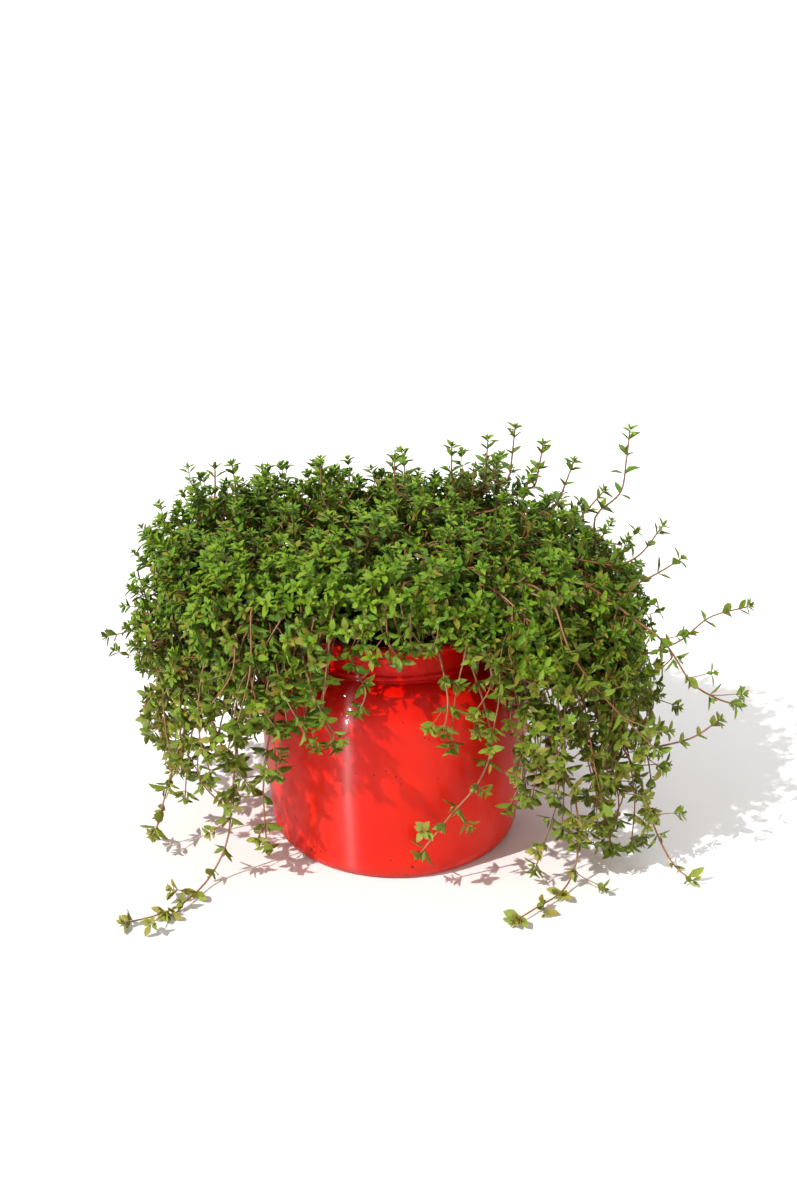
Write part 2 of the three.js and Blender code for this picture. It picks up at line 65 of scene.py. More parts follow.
# Camera and stage, in metres and degrees
CAMERA_PLACE = (0.00204, -0.8407, 0.504)
CAMERA_PITCH = 24.0  # downwards
CAMERA_LENS = 52.98
SENSOR_WIDTH = 36.0
STAGE_SIZE = 60.0
SKY_COLOR = (1.0, 0.98, 0.94, 1)
HORIZON_LIGHT = 1.05
SKY_LIGHT = 0.58
HORIZON_BLUR = 0.16  # sine of the angle over which the light of the horizon fades
KEY_COLOR = (1.0, 0.97, 0.92)
KEY_PLACE = (-0.93, -0.66, 1.33)
KEY_STRENGTH = 3.5
KEY_WIDTH = 0.8
AIM_HEIGHT = 0.1
LAMPS = [
    ("fill", (1.2, -1.0, 0.9), (1.2, 1.2), 2.0, True),
    ("back", (0.5, 1.3, 1.3), (0.8, 0.8), 13.0, True),
    ("strip", (-0.41, -0.57, 0.18), (0.02, 0.34), 9.0, False),
]  # names, places, widths and heights, watts, and whether they light matt surfaces

# Pot
POT_HEIGHT = 128.0
BASE_RADIUS = 61.0
HEEL_RADIUS = 66.6
HEEL_HEIGHT = 9.0
SHOULDER_RADIUS = 72.3
SHOULDER_HEIGHT = 86.0
NECK_RADIUS = 56.5
NECK_HEIGHT = 110.0
BEAD_DEPTH = 1.2
BEAD_HEIGHT = 3.5
LIP_RADIUS = 58.5
LIP_HEIGHT = 6.0
RIM_ROUND = 2.0
WALL = 4.5
INNER_NECK = NECK_RADIUS - WALL
SHOULDER_DEPTH = SHOULDER_RADIUS - NECK_RADIUS
SHOULDER_CURVE = NECK_HEIGHT - SHOULDER_HEIGHT
FLOOR = 6.0
SIDE_BULGE = 0.6
POT_SEGMENTS = 144

# Soil
SOIL_HEIGHT = 116.0
SEAT_GAP = 0.3
HOLE_DEPTH = 8.0
FOOT_HEIGHT = SOIL_HEIGHT - HOLE_DEPTH + SEAT_GAP
CRUMBS = 420
CRUMB_SIZES = (0.6, 1.9)
CRUMB_SIDES = 5
SOIL_RINGS = 34
SOIL_SEGMENTS = 96

# Outline of the foliage, by azimuth from the front
MOUND_TOP = 186.0
FRONT_REACH = 76.0
SIDE_REACH = 143.0
BACK_REACH = 127.0
FRONT_WAIST = 146.0
SIDE_WAIST = 118.0
FRONT_SKIRT = 132.0
SIDE_SKIRT = 34.0
BACK_SKIRT = 48.0
SKIRT_INSET = 0.12
MOUND_SHARE = 0.62
ROUNDNESS = 0.8
LEFT_SHOULDER_RISE = 9.0
RIGHT_SHOULDER_DROP = 20.0
TOP_DROP = 7.5
BACK_SHOULDER_RISE = 1.0
RIGHT_BACK_RISE = 11.0
SIDE_INSET = 8.5
FRONT_LEFT_SWELL = 6.0
SWELL_AZIMUTH = -38.0
SWELL_WIDTH = 18.0

# Angles from the front between which the outline turns
SIDE_TURN = (15, 85)
SKIRT_TURN = (22, 85)
BACK_TURN = (100, 180)
SHOULDER_TURN = (80, 125)

# Hollows in the top of the mound: x, y, width and depth
DIPS = [(-17, 38, 20, 9.0), (-52, 32, 24, 8.0), (98, 30, 16, 9.0)]

# Stems and leaves
STEM_THICK = 0.9
STEM_THIN = 0.4
TRAIL_THICK = 0.72
TRAIL_THIN = 0.42
SHOOT_THICK = 0.48
SHOOT_THIN = 0.27
TIP_DEPTH = 14.0
ARCH_HEIGHT = 158.0
STEM_SIDES = 6
TWIG_SIDES = 3
LEAF_LENGTH = 8.0
NARROW_LEAF = 0.38  # width to length
BROAD_LEAF = 0.56
LEAF_THICK = 0.3
GROUND_GAP = 0.3
WALL_GAP = 0.8
INNER_GAP = 0.6
TOP_GAP = 0.5
RIM_ZONE = 10.0  # below the rim, where a strand is moved over the rim instead of out of the wall
STRAND_HEIGHT = 1.2  # of a strand's middle over what it lies on

FINE, PLAIN, COARSE = 0, 1, 2  # grades of leaves, by their number of faces

# Layers of shoots in the mound: count, first draw, depth of their tips, pairs of leaves, size, age, run along
# a stem, grade of their leaves
LAYERS = [
    (450, 9000, 27.0, 3, 1.15, 0.75, 14.0, COARSE),
    (840, 5000, 14.0, 3, 1.05, 0.50, 9.0, COARSE),
    (1480, 0, 3.0, 2, 0.92, 0.05, 6.0, FINE),
]
TUFT_SHARE = 0.36  # of the axils
STRAND_TUFTS = 0.85
LONGEST_SHOOT = 55.0
FILL_SHOOTS = 660
FILL_DEPTH = 20.0
TRAIL_BARE = 45.0
STRAND_BARE = 12.0

# Sizes of leaves, as shares of their length above
TRAIL_LEAVES = 1.2
STRAND_LEAVES = 1.15
BRANCHLET_LEAVES = 1.05
LONG_SHOOT_LEAVES = 1.1
FILL_LEAVES = 1.3


def mix(a, b, t):
    return a + (b - a) * t


def smooth(x, low, high):
    t = min(1.0, max(0.0, (x - low) / (high - low)))
    return t * t * (3 - 2 * t)


def unit(v):
    return v / max(1e-9, float(norm(v)))


def at(azimuth, radius, height):
    a = radians(azimuth)
    return np.array([radius * sin(a), -radius * cos(a), height])


def draw(a, b):
    """A repeatable random draw from 0 to 1 for a pair of numbers."""
    x = sin(a * 12.9898 + b * 78.233) * 43758.5453
    return x - floor(x)


def sway(a, b):
    """A repeatable random draw from -0.5 to 0.5."""
    return draw(a, b) - 0.5


def spread(i, base):
    """The i-th number of a sequence that fills 0 to 1 evenly."""
    value, share = 0.0, 1.0 / base
    while i > 0:
        value += share * (i % base)
        i //= base
        share /= base
    return value


def from_front(azimuth):
    return abs((azimuth + 180) % 360 - 180)


def outline(azimuth, v):
    """Radius and height of the foliage's outline, at a share v of the run from its top to its lowest end."""
    a = from_front(azimuth)
    side = smooth(a, *SIDE_TURN)
    back = smooth(a, *BACK_TURN)
    reach = mix(FRONT_REACH, SIDE_REACH, side) + (BACK_REACH - SIDE_REACH) * back
    waist = mix(FRONT_WAIST, SIDE_WAIST, side)
    skirt = mix(FRONT_SKIRT, SIDE_SKIRT, smooth(a, *SKIRT_TURN)) + (BACK_SKIRT - SIDE_SKIRT) * back
    if v < MOUND_SHARE:
        t = v / MOUND_SHARE * pi / 2
        radius = reach * sin(t) ** ROUNDNESS
        return radius, waist + (MOUND_TOP - waist) * max(0.0, cos(t)) ** ROUNDNESS
    w = (v - MOUND_SHARE) / (1 - MOUND_SHARE)
    return reach * (1 - SKIRT_INSET * w * w), mix(waist, skirt, w)


def tilted_outline(azimuth, v):
    """The outline made lopsided: shoulders, hollows in the top, slimmer sides, a swell at the left front."""
    radius, height = outline(azimuth, v)
    low_end = 1 - smooth(v, 0.55, 0.8)
    side = sin(radians(azimuth))
    back = smooth(from_front(azimuth), *SHOULDER_TURN)
    drop = RIGHT_SHOULDER_DROP * max(side, 0) * smooth(v, 0.22, 0.38) * low_end * (1 - 0.3 * back)
    rise = LEFT_SHOULDER_RISE * max(-side, 0) * smooth(v, 0.1, 0.35) * low_end
    corner = smooth(v, 0.08, 0.20) * (1 - smooth(v, 0.24, 0.34))
    rise += (BACK_SHOULDER_RISE + RIGHT_BACK_RISE * max(side, 0)) * back * corner
    inset = SIDE_INSET * side * side * smooth(v, 0.3, 0.5) * (1 - smooth(v, 0.8, 0.95))
    x, y, _ = at(azimuth, radius, 0)
    drop += sum(depth * exp(-((x - a) ** 2 + (y - b) ** 2) / width ** 2) for a, b, width, depth in DIPS)
    swell = FRONT_LEFT_SWELL * exp(-(from_front(azimuth - SWELL_AZIMUTH) / SWELL_WIDTH) ** 2)
    swell *= smooth(v, 0.35, 0.55)
    return radius - inset + swell, height + rise - drop - TOP_DROP * (1 - smooth(v, 0.15, 0.45))


def outward(azimuth, v):
    """The outline's outward direction in the upright plane at an azimuth."""
    ra, za = outline(azimuth, max(0.0, v - 0.02))
    rb, zb = outline(azimuth, min(1.0, v + 0.02))
    direction = at(azimuth, za - zb, 0.0)
    direction[2] = rb - ra
    return unit(direction)


def curve(points, steps):
    """A Catmull-Rom curve through points, sampled evenly in its parameter."""
    points = [np.asarray(p, float) for p in points]
    ends = [2 * points[0] - points[1], *points, 2 * points[-1] - points[-2]]
    line = []
    for k in range(steps + 1):
        p = (len(points) - 1) * k / steps
        i = min(int(p), len(points) - 2)
        t = p - i
        p0, p1, p2, p3 = ends[i:i + 4]
        m1, m2 = 0.5 * (p2 - p0), 0.5 * (p3 - p1)
        line.append(
            p1 + m1 * t
            + (3 * (p2 - p1) - 2 * m1 - m2) * t * t
            + (2 * (p1 - p2) + m1 + m2) * t ** 3
        )
    return np.array(line)


def bow(start, heading, tip, direction, steps):
    """A bent line from a stem to a tip, leaving along heading and arriving along direction."""
    length = float(norm(tip - start))
    a = start + heading * length * 0.35
    b = tip - direction * length * 0.4
    t = np.linspace(0, 1, steps + 1)[:, None]
    return (1 - t) ** 3 * start + 3 * (1 - t) ** 2 * t * a + 3 * (1 - t) * t ** 2 * b + t ** 3 * tip


def turned_about(v, axis, angle):
    c, s = cos(angle), sin(angle)
    return v * c + np.cross(axis, v) * s + axis * float(axis @ v) * (1 - c)


def about_pot(line, turn):
    a = radians(turn)
    c, s = cos(a), sin(a)
    return line @ np.array([[c, s, 0], [-s, c, 0], [0, 0, 1]])


class Path:
    """A line of points with its running length."""

    def __init__(self, line):
        self.line = line
        self.at = np.concatenate([[0], np.cumsum(norm(np.diff(line, axis=0), axis=1))])
        self.length = float(self.at[-1])

    def point(self, distance):
        return np.array([np.interp(distance, self.at, self.line[:, k]) for k in range(3)])

    def direction(self, distance):
        return unit(self.point(distance + 1.5) - self.point(distance - 1.5))

    def place(self, distance):
        return self.point(distance), self.direction(distance)


def pot_outer(z):
    """The pot's outer radius at a height."""
    if z < HEEL_HEIGHT:
        return HEEL_RADIUS
    if z < SHOULDER_HEIGHT:
        return mix(HEEL_RADIUS, SHOULDER_RADIUS, (z - HEEL_HEIGHT) / (SHOULDER_HEIGHT - HEEL_HEIGHT))
    if z < NECK_HEIGHT:
        t = (z - SHOULDER_HEIGHT) / SHOULDER_CURVE
        return NECK_RADIUS + SHOULDER_DEPTH * sqrt(1 - t * t)
    return LIP_RADIUS


def is_clear(p):
    """True if a point of a leaf or twig is above the ground and outside the pot's wall and the soil."""
    radius, z = hypot(p[0], p[1]), p[2]
    if z < GROUND_GAP or np.any(p < BOX_LOW) or np.any(p > BOX_HIGH):
        return False
    if z > POT_HEIGHT + TOP_GAP or radius > pot_outer(z) + WALL_GAP:
        return True
    return z > SOIL_HEIGHT + TOP_GAP and radius < INNER_NECK - INNER_GAP


def pushed_clear(line):
    """The line with each point in the pot's wall or body moved out to the pot's side or up over its rim."""
    line = line.copy()
    for p in line[1:]:
        p[2] = max(p[2], STRAND_HEIGHT)
        radius = hypot(p[0], p[1])
        wall = pot_outer(p[2]) + STRAND_HEIGHT
        if INNER_NECK < radius < wall and p[2] < POT_HEIGHT + 1:
            if p[2] > POT_HEIGHT - RIM_ZONE:
                p[2] = POT_HEIGHT + STRAND_HEIGHT
            else:
                p[:2] *= wall / radius
    return line


class Spray:
    """One stem from the soil: its route, and the twigs and leaves that grow on it."""

    def __init__(self, name, line, trailing):
        self.name = name
        self.path = Path(line)
        self.trailing = trailing
        self.twigs = []
        self.leaves = {FINE: [], PLAIN: [], COARSE: []}

    def add_twig(self, line, thick, thin, old, young):
        """A twig along a line: its thickness in shares of a shoot's, and its age at foot and tip."""
        self.twigs.append((line, SHOOT_THICK * thick, SHOOT_THIN * thin, old, young))
        return Path(line)

    def grow(self, line, thick, thin, old, young):
        """A twig that keeps clear of the pot, the soil and the ground, or nothing where it can't."""
        line = pushed_clear(line)
        if all(is_clear(p) for p in line[1:]):
            return self.add_twig(line, thick, thin, old, young)

    def add_leaf(self, base, way, facing, length, age, seed, grade=FINE):
        """A leaf from base along way, its upper side turned to facing."""
        across = unit(np.cross(facing, way))
        up = np.cross(way, across)
        if is_clear(base + way * length) and is_clear(base + way * length * 0.6):
            self.leaves[grade].append((base, way, across, up, length, age, seed))


def foot_turn(node, azimuth):
    """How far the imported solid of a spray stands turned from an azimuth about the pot's axis."""
    points = np.array([v.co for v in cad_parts[node].data.vertices]) / MM
    in_soil = np.abs(points[:, 2] - FOOT_HEIGHT) < 1.0
    in_pot = np.hypot(points[:, 0], points[:, 1]) < INNER_NECK
    foot = points[in_soil & in_pot].mean(axis=0)
    if hypot(foot[0], foot[1]) < 3:
        return 0.0
    found = degrees(atan2(foot[0], -foot[1]))
    return (found - azimuth + 180) % 360 - 180


# Rings of the mound's stems: name, share of the outline, count, radius in the soil, first azimuth, span
RINGS = [
    ("crown", 0.0, 1, 0, 0, 360),
    ("upper", 0.11, 5, 12, 20, 360),
    ("middle", 0.23, 8, 23, 0, 360),
    ("lower", 0.38, 10, 32, 18, 360),
    ("outer", 0.56, 8, 40, 50, 296),
]


def mound_sprays():
    for ring, (name, v, count, root, start, span) in enumerate(RINGS):
        for j in range(count):
            azimuth = start + span * j / count + (8 * sway(ring, j) if count > 1 else 0)
            radius, height = outline(azimuth, v)
            tip = at(azimuth, radius, height) - outward(azimuth, v) * TIP_DEPTH
            reach = hypot(tip[0], tip[1])
            peak = max(mix(SOIL_HEIGHT, tip[2], 0.85), mix(tip[2], ARCH_HEIGHT, 0.9))
            swing = azimuth + 6 * sway(ring + 20, j)
            route = [
                at(azimuth, root, SOIL_HEIGHT),
                at(azimuth, mix(root, reach, 0.08), mix(SOIL_HEIGHT, peak, 0.6)),
                at(swing, mix(root, reach, 0.42), peak),
                tip,
            ]
            yield make_spray(f"{name}_spray_{j + 1}", azimuth, route, 26, False)


def make_spray(name, azimuth, route, steps, trailing):
    line = about_pot(curve(route, steps), foot_turn(name, azimuth))
    foot = line[0].copy()
    foot[2] = FOOT_HEIGHT
    return Spray(name, np.vstack([foot, line]), trailing)


# Stems that trail over the rim: name, azimuth in the soil, and the points that they pass
RIM_CROSSING = (59, 139)
TRAILS = [
    ("front_left_inner", -14, [(-21, -62, 125), (-14, -76, 116), (-17, -78, 105)]),
    ("front_left_outer", -27, [(-32, -62, 126), (-33, -72, 116), (-38, -73, 101)]),
    ("left_front_low", -41, [(-48, -60, 123), (-60, -68, 94), (-66, -64, 58), (-66, -60, 17)]),
    ("left_front_long", -54, [
        (-60, -50, 125), (-76, -62, 92), (-82, -62, 52), (-86, -62, 22), (-95, -70, 5), (-106, -90, 3),
        (-118, -101, 3), (-133, -108, 3),
    ]),
    ("left_low", -69, [(-80, -32, 121), (-102, -36, 89), (-116, -36, 48), (-127, -35, 10)]),
    ("left_middle", -84, [(-84, -12, 116), (-102, -12, 80), (-110, -13, 45), (-113, -15, 20)]),
    ("left_back", -108, [(-90, 30, 110), (-118, 40, 70), (-128, 44, 28)]),
    ("front_right_inner", 17, [(22, -62, 128), (26, -78, 111), (24, -79, 94)]),
    ("front_right_long", 30, [(36, -60, 127), (48, -66, 86), (43, -69, 62), (28, -74, 44), (13, -76, 23)]),
    ("right_front_long", 44, [
        (54, -52, 125), (72, -66, 94), (90, -67, 54), (94, -66, 20), (90, -73, 6), (83, -83, 3),
        (73, -93, 3), (60, -106, 3),
    ]),
    ("right_front_thick", 50, [
        (54, -44, 156), (70, -60, 154), (79, -72, 130), (97, -75, 105), (127, -68, 70),
    ]),
    ("right_middle", 57, [(65, -42, 126), (88, -56, 96), (104, -57, 50), (113, -56, 13)]),
    ("right_low", 68, [
        (70, -28, 123), (99, -42, 94), (124, -46, 54), (136, -48, 20), (145, -55, 4), (153, -70, 3),
    ]),
    ("right_far", 78, [
        (84, -20, 153), (123, -36, 133), (137, -40, 122), (150, -42, 103), (163, -42, 94), (174, -42, 90),
    ]),
    ("right_back", 108, [(88, 28, 116), (124, 36, 74), (139, 31, 34)]),
]
HIGH_TRAILS = ("right_front_thick", "right_far")
BACK_AZIMUTHS = (134, 159, 184, 209, 234)
TRAIL_ROOT = 47
HIGH_ROOT = 41
BACK_FALL = (84, 122)


def over_rim(azimuth, high=False):
    """Where a trailing stem starts: in the soil, and over the rim, or well above it."""
    root, peak = (HIGH_ROOT, 140) if high else (TRAIL_ROOT, 130)
    start = [at(azimuth, root, SOIL_HEIGHT), at(azimuth, root + 2, peak)]
    return start if high else [*start, at(azimuth, *RIM_CROSSING)]


def trail_sprays():
    for name, azimuth, way in TRAILS:
        route = over_rim(azimuth, name in HIGH_TRAILS) + way
        yield make_spray(f"trail_{name}", azimuth, route, 10 + 6 * len(way), True)
    for j, azimuth in enumerate(BACK_AZIMUTHS):
        low_radius, low_height = outline(azimuth, 0.93 + 0.07 * draw(j, 31))
        radius, height = BACK_FALL
        swing = azimuth + 5 * sway(j, 32)
        route = over_rim(azimuth) + [
            at(azimuth, radius, height),
            at(swing, mix(radius, low_radius, 0.65), mix(height, low_height, 0.45)),
            at(azimuth + 8 * sway(j, 33), low_radius - 10, low_height),
        ]
        yield make_spray(f"trail_back_{j + 1}", azimuth, route, 34, True)


# Shoots that stand out of the mound: the points that they pass, from inside the mound to the tip
LONG_SHOOTS = [
    [(106, 10, 176), (116, 10, 186), (118, 10, 203), (119, 10, 219)],
    [(110, 0, 146), (126, 0, 155), (137, 0, 171)],
    [(122, -20, 147), (134, -20, 154), (144, -20, 161)],
    [(132, -18, 108), (147, -20, 116), (161, -20, 129), (180, -20, 135)],
    [(132, -44, 66), (152, -44, 72), (165, -44, 82)],
    [(-128, 2, 116), (-142, 2, 110), (-151, 2, 108)],
    [(61, 38, 186), (63, 40, 210)],
    [(48, 40, 186), (49, 42, 203)],
    [(75, 38, 182), (78, 40, 201)],
    [(88, 34, 176), (94, 36, 193)],
    [(99, 28, 166), (110, 32, 178)],
    [(-84, 38, 174), (-86, 42, 189)],
    [(-45, -72, 138), (-40, -88, 124), (-32, -95, 108), (-26, -95, 99)],
    [(-58, -70, 134), (-54, -86, 122), (-46, -93, 108), (-41, -93, 98)],
    [(-70, -66, 128), (-68, -80, 116), (-60, -88, 106), (-55, -88, 98)],
    [(30, 40, 184), (30, 42, 199)],
    [(0, 38, 180), (0, 40, 193)],
    [(-39, 38, 178), (-39, 40, 190)],
    [(-95, 36, 176), (-95, 40, 188)],
]


def sideways(direction, turn):
    first = np.cross(UP, direction)
    if float(first @ first) < 1e-4:
        first = np.array([1.0, 0.0, 0.0])
    return turned_about(unit(first), direction, turn)


def leafy(spray, path, seed, nodes, first_gap, gap, size, age, grade=FINE):
    """A rosette at a twig's tip and pairs of leaves down from it, each a quarter turn from the last."""
    turn = draw(seed, 1) * pi
    rosette(spray, path, seed, turn, size, age, grade)
    back = first_gap
    for n in range(nodes):
        if back > path.length - 2:
            return
        point, direction = path.place(path.length - back)
        pair_size = size * min(1.0, 0.85 + 0.1 * n)
        pair_age = min(1.0, age + 0.2 * n)
        rise = mix(0.7, 0.25, min(1.0, n / 3))
        leaf_pair(spray, point, direction, turn + n * pi / 2, seed + n, pair_size, pair_age, rise, grade)
        back += gap * (1 + 0.15 * n)


def leaf_pair(spray, point, direction, turn, seed, size, age, rise, grade=FINE, tufts=TUFT_SHARE):
    """Two opposite leaves, with a tuft of small ones in some axils."""
    for half in (0, 1):
        out = sideways(direction, turn + half * pi + 0.4 * sway(seed, 3))
        angle = rise + 0.35 * sway(seed, 2 + half)
        way = unit(out * cos(angle) + direction * sin(angle))
        facing = unit(direction + UP * 0.55)
        length = LEAF_LENGTH * size * (0.84 + 0.3 * draw(seed, 4 + half))
        spray.add_leaf(point, way, facing, length, age, draw(seed, 6 + half), grade)
        if grade == FINE and draw(seed, 8 + half) < tufts:
            tuft_grade = PLAIN if spray.trailing else COARSE
            tuft(spray, point, direction, out, seed + 7 * half, size, age * 0.5, tuft_grade)


def tuft(spray, point, direction, out, seed, size, age, grade):
    """Small leaves on a very short side shoot in an axil."""
    heading = unit(out * 0.8 + direction)
    foot = point + heading * 1.2 * size
    for k in range(3):
        side = sideways(heading, draw(seed, 30) * 6.3 + k * 2.1)
        way = unit(heading + side * 0.75)
        length = LEAF_LENGTH * size * (0.42 + 0.28 * draw(seed + k, 31))
        spray.add_leaf(foot, way, unit(heading + UP * 0.3), length, age, draw(seed + k, 32), grade)


# Pairs of leaves in a rosette: their rise in radians, share of the full length, and place past the tip
ROSETTE = ((0.25, 0.80, -0.6), (0.55, 0.62, 0.0), (0.95, 0.44, 0.5))
BUD_LENGTH = 2.6


def rosette(spray, path, seed, turn, size, age, grade=FINE):
    """Crowded leaves at a twig's tip: two crossed pairs, a smaller pair and a bud."""
    tip = path.line[-1]
    direction = path.direction(path.length)
    for n, (rise, share, lift) in enumerate(ROSETTE):
        for half in (0, 1):
            draws = seed + 3 * n + half
            turned = turn + (n + 1) * pi / 2 + half * pi + 0.35 * sway(draws, 12)
            out = sideways(direction, turned)
            angle = rise + 0.3 * sway(draws, 13)
            way = unit(out * cos(angle) + direction * sin(angle))
            length = LEAF_LENGTH * size * share * (0.85 + 0.3 * draw(draws, 14))
            foot = tip + direction * lift
            facing = unit(direction + UP * 0.3)
            leaf_grade = max(grade, PLAIN if n == 2 else FINE)
            spray.add_leaf(foot, way, facing, length, age * 0.6, draw(draws, 15), leaf_grade)
    way = unit(direction + sideways(direction, turn) * 0.2)
    facing = sideways(direction, turn)
    spray.add_leaf(tip + direction, way, facing, BUD_LENGTH * size, 0.0, draw(seed, 16), max(grade, PLAIN))


def shoot_points(count, first):
    """Numbers, azimuths and shares of points spread evenly over the outline."""
    i, made = first, 0
    while made < count:
        i += 1
        azimuth = 360 * spread(i, 2)
        share = spread(i, 3)
        above = share < 0.5
        if above:
            v = MOUND_SHARE * acos(1 - 2 * share) / (pi / 2)
        else:
            v = mix(MOUND_SHARE, 1, 2 * share - 1)
        reach, waist = outline(azimuth, MOUND_SHARE)
        reach /= SIDE_REACH
        drop = (waist - outline(azimuth, 1)[1]) / (SIDE_WAIST - SIDE_SKIRT)
        thin = 1 - 0.88 * smooth(v, 0.66, 0.92)
        if spread(i, 5) < (reach * reach if above else reach * drop * thin):
            made += 1
            yield i, azimuth, v


# Waves across the mound that raise its clumps: their numbers per millimetre along X, Y and Z, and phase
CLUMP_WAVES = [
    (0.16, 0.05, 0.09, 0.3),
    (-0.06, 0.17, -0.05, 1.7),
    (0.11, -0.10, 0.16, 4.1),
    (0.20, 0.14, -0.12, 2.2),
]
CLUMP_HEIGHT = 4.2
CLUMP_INSET = 3.2
CLUMP_REACH = 8.0
TALL_SHARE = 0.15
BACK_TALL_SHARE = 0.36
TALL_HEIGHT = 13.0
STRAY_SHARE = 0.12
STRAY_REACH = 13.0
TOP_SHARE = 0.42  # of the outline, where shoots may stand tall; below it they may stray outwards


def clump(p):
    """How far the foliage swells out at a point, in millimetres."""
    return CLUMP_HEIGHT * sum(sin(a * p[0] + b * p[1] + c * p[2] + d) for a, b, c, d in CLUMP_WAVES)


class Wood:
    """Points on stems and twigs that new shoots may leave."""

    def __init__(self):
        self.points = np.zeros((0, 3))
        self.places = []

    def add(self, spray, path, first, gap):
        distances = np.arange(first, path.length, gap)
        self.points = np.vstack([self.points, [path.point(d) for d in distances]])
        self.places += [(spray, path, d) for d in distances]

    def nearest(self, point, back):
        """The spray that passes nearest to a point, and the start and direction of a shoot to that point."""
        spray, path, distance = self.places[int(np.argmin(norm(self.points - point, axis=1)))]
        return spray, *path.place(max(distance - back, 0.15 * path.length))


def main_wood(sprays):
    wood = Wood()
    for spray in sprays:
        wood.add(spray, spray.path, 0.4 * spray.path.length, 4.0)
    return wood


def side_shoots(wood, count, first, depth, nodes, size, age, back, grade):
    """A layer of shoots with their tips evenly under the outline, each from the nearest stem or twig."""
    grown = []
    for i, azimuth, v in shoot_points(count, first):
        radius, height = tilted_outline(azimuth, v)
        normal = outward(azimuth, v)
        tip = at(azimuth, radius, height)
        swell = clump(tip) - CLUMP_INSET + 9 * sway(i, 21)
        tall_share = BACK_TALL_SHARE if from_front(azimuth) > 100 else TALL_SHARE
        tall = grade == FINE and v < TOP_SHARE and draw(i, 28) < tall_share
        stray = grade == FINE and v >= TOP_SHARE and draw(i, 28) < STRAY_SHARE
        lift = TALL_HEIGHT * draw(i, 29) if tall else 0
        reach = STRAY_REACH * draw(i, 29) if stray else 0
        tip = tip - normal * (depth - min(swell, depth + CLUMP_REACH)) + UP * lift
        tip = tip + normal * reach
        spray, start, along = wood.nearest(tip, back * (0.7 + 0.6 * draw(i, 22)))
        if norm(tip - start) > LONGEST_SHOOT:
            continue
        heading = unit(along + unit(tip - start))
        lean = np.array([sway(i, 23), sway(i, 24), draw(i, 25) - 0.35])
        arrive = unit(normal + 0.9 * lean + UP * (1.5 if tall else mix(0.7, 0.0, v)))
        twig = spray.grow(bow(start, heading, tip, arrive, 5), 1, 1, 0.75, 0.1)
        if twig:
            grown.append((spray, twig))
            # Leaf age, plus painted shade and painted light: tips sunk in the clumps' hollows get older,
            # darker leaves, and leaves low on the skirt get younger, lighter ones.
            age_and_painted_shading = age + 0.2 * draw(i, 27) + 0.035 * max(0.0, -swell) - 0.3 * smooth(v, 0.6, 0.9)
            leaf_size = size * (0.85 + 0.3 * draw(i, 26))
            leafy(spray, twig, i, nodes + 2 * tall + stray, 3.0, 5.0, leaf_size, age_and_painted_shading, grade)
    for spray, twig in grown:
        wood.add(spray, twig, 0.3 * twig.length, 4.0)


def mound_height(azimuth, radius):
    """Height of the mound's top over a radius."""
    reach = tilted_outline(azimuth, MOUND_SHARE)[0]
    t = asin(min(1.0, radius / reach) ** (1 / ROUNDNESS))
    return tilted_outline(azimuth, MOUND_SHARE * t / (pi / 2))[1]


def fill_shoots(wood):
    """Dark shoots inside the mound, over the soil and beside the rim."""
    for j in range(FILL_SHOOTS):
        seed = 20000 + j
        azimuth = 360 * spread(j + 1, 2)
        reach = outline(azimuth, MOUND_SHARE)[0] - FILL_DEPTH
        widest = mix(50, reach, smooth(from_front(azimuth), 22, 60))
        radius = widest * sqrt(mix(0.05, 1.0, spread(j + 1, 3)))
        lowest = POT_HEIGHT + 4 if radius < 64 else mix(POT_HEIGHT, 84, smooth(radius, 64, 100))
        highest = mound_height(azimuth, radius) - FILL_DEPTH
        tip = at(azimuth, radius, mix(lowest, highest, draw(seed, 61)))
        spray, start, along = wood.nearest(tip, 12)
        if norm(tip - start) > LONGEST_SHOOT:
            continue
        arrive = unit(tip - start + np.array([sway(seed, k) for k in (62, 63, 64)]) * 20)
        twig = spray.grow(bow(start, along, tip, arrive, 4), 1, 1, 1.0, 0.6)
        if twig:
            leafy(spray, twig, seed, 3, 3.6, 5.5, FILL_LEAVES, 0.8, COARSE)


def long_shoots(wood):
    for n, way in enumerate(LONG_SHOOTS):
        points = [np.array(p, float) for p in way]
        spray, start, along = wood.nearest(points[0], 12)
        arrive = unit(points[1] - points[0])
        heading = unit(along + unit(points[0] - start))
        line = np.vstack([bow(start, heading, points[0], arrive, 5), curve(points, 5 * len(way))[1:]])
        twig = spray.add_twig(line, 1.4, 1.7, 0.95, 0.55)
        leafy(spray, twig, 900 + n, 6, 5.0, 8.5, LONG_SHOOT_LEAVES, 0.1)


# Strands that hang from the mound's edge: first and last azimuth, count, the outline's shares where they
# start, how far their tips stand out from there, and the lowest and highest tip
FRINGES = [
    ((26, 40), 5, (0.62, 0.95), (-4, 8), (78, 116)),
    ((40, 53), 9, (0.62, 0.95), (-8, 6), (46, 84)),
    ((53, 78), 15, (0.66, 0.98), (-12, 14), (8, 66)),
    ((78, 112), 12, (0.7, 1.0), (-10, 14), (20, 84)),
    ((-42, -26), 8, (0.62, 0.95), (-4, 8), (86, 112)),
    ((-50, -19), 9, (0.50, 0.85), (8, 22), (96, 120)),
    ((-60, -42), 7, (0.62, 0.95), (-10, 6), (58, 98)),
    ((-112, -60), 9, (0.74, 1.0), (-18, 4), (26, 78)),
    ((116, 244), 22, (0.78, 1.0), (-14, 6), (22, 68)),
    ((-14, 20), 8, (0.36, 0.56), (-6, 3), (129, 138)),
]


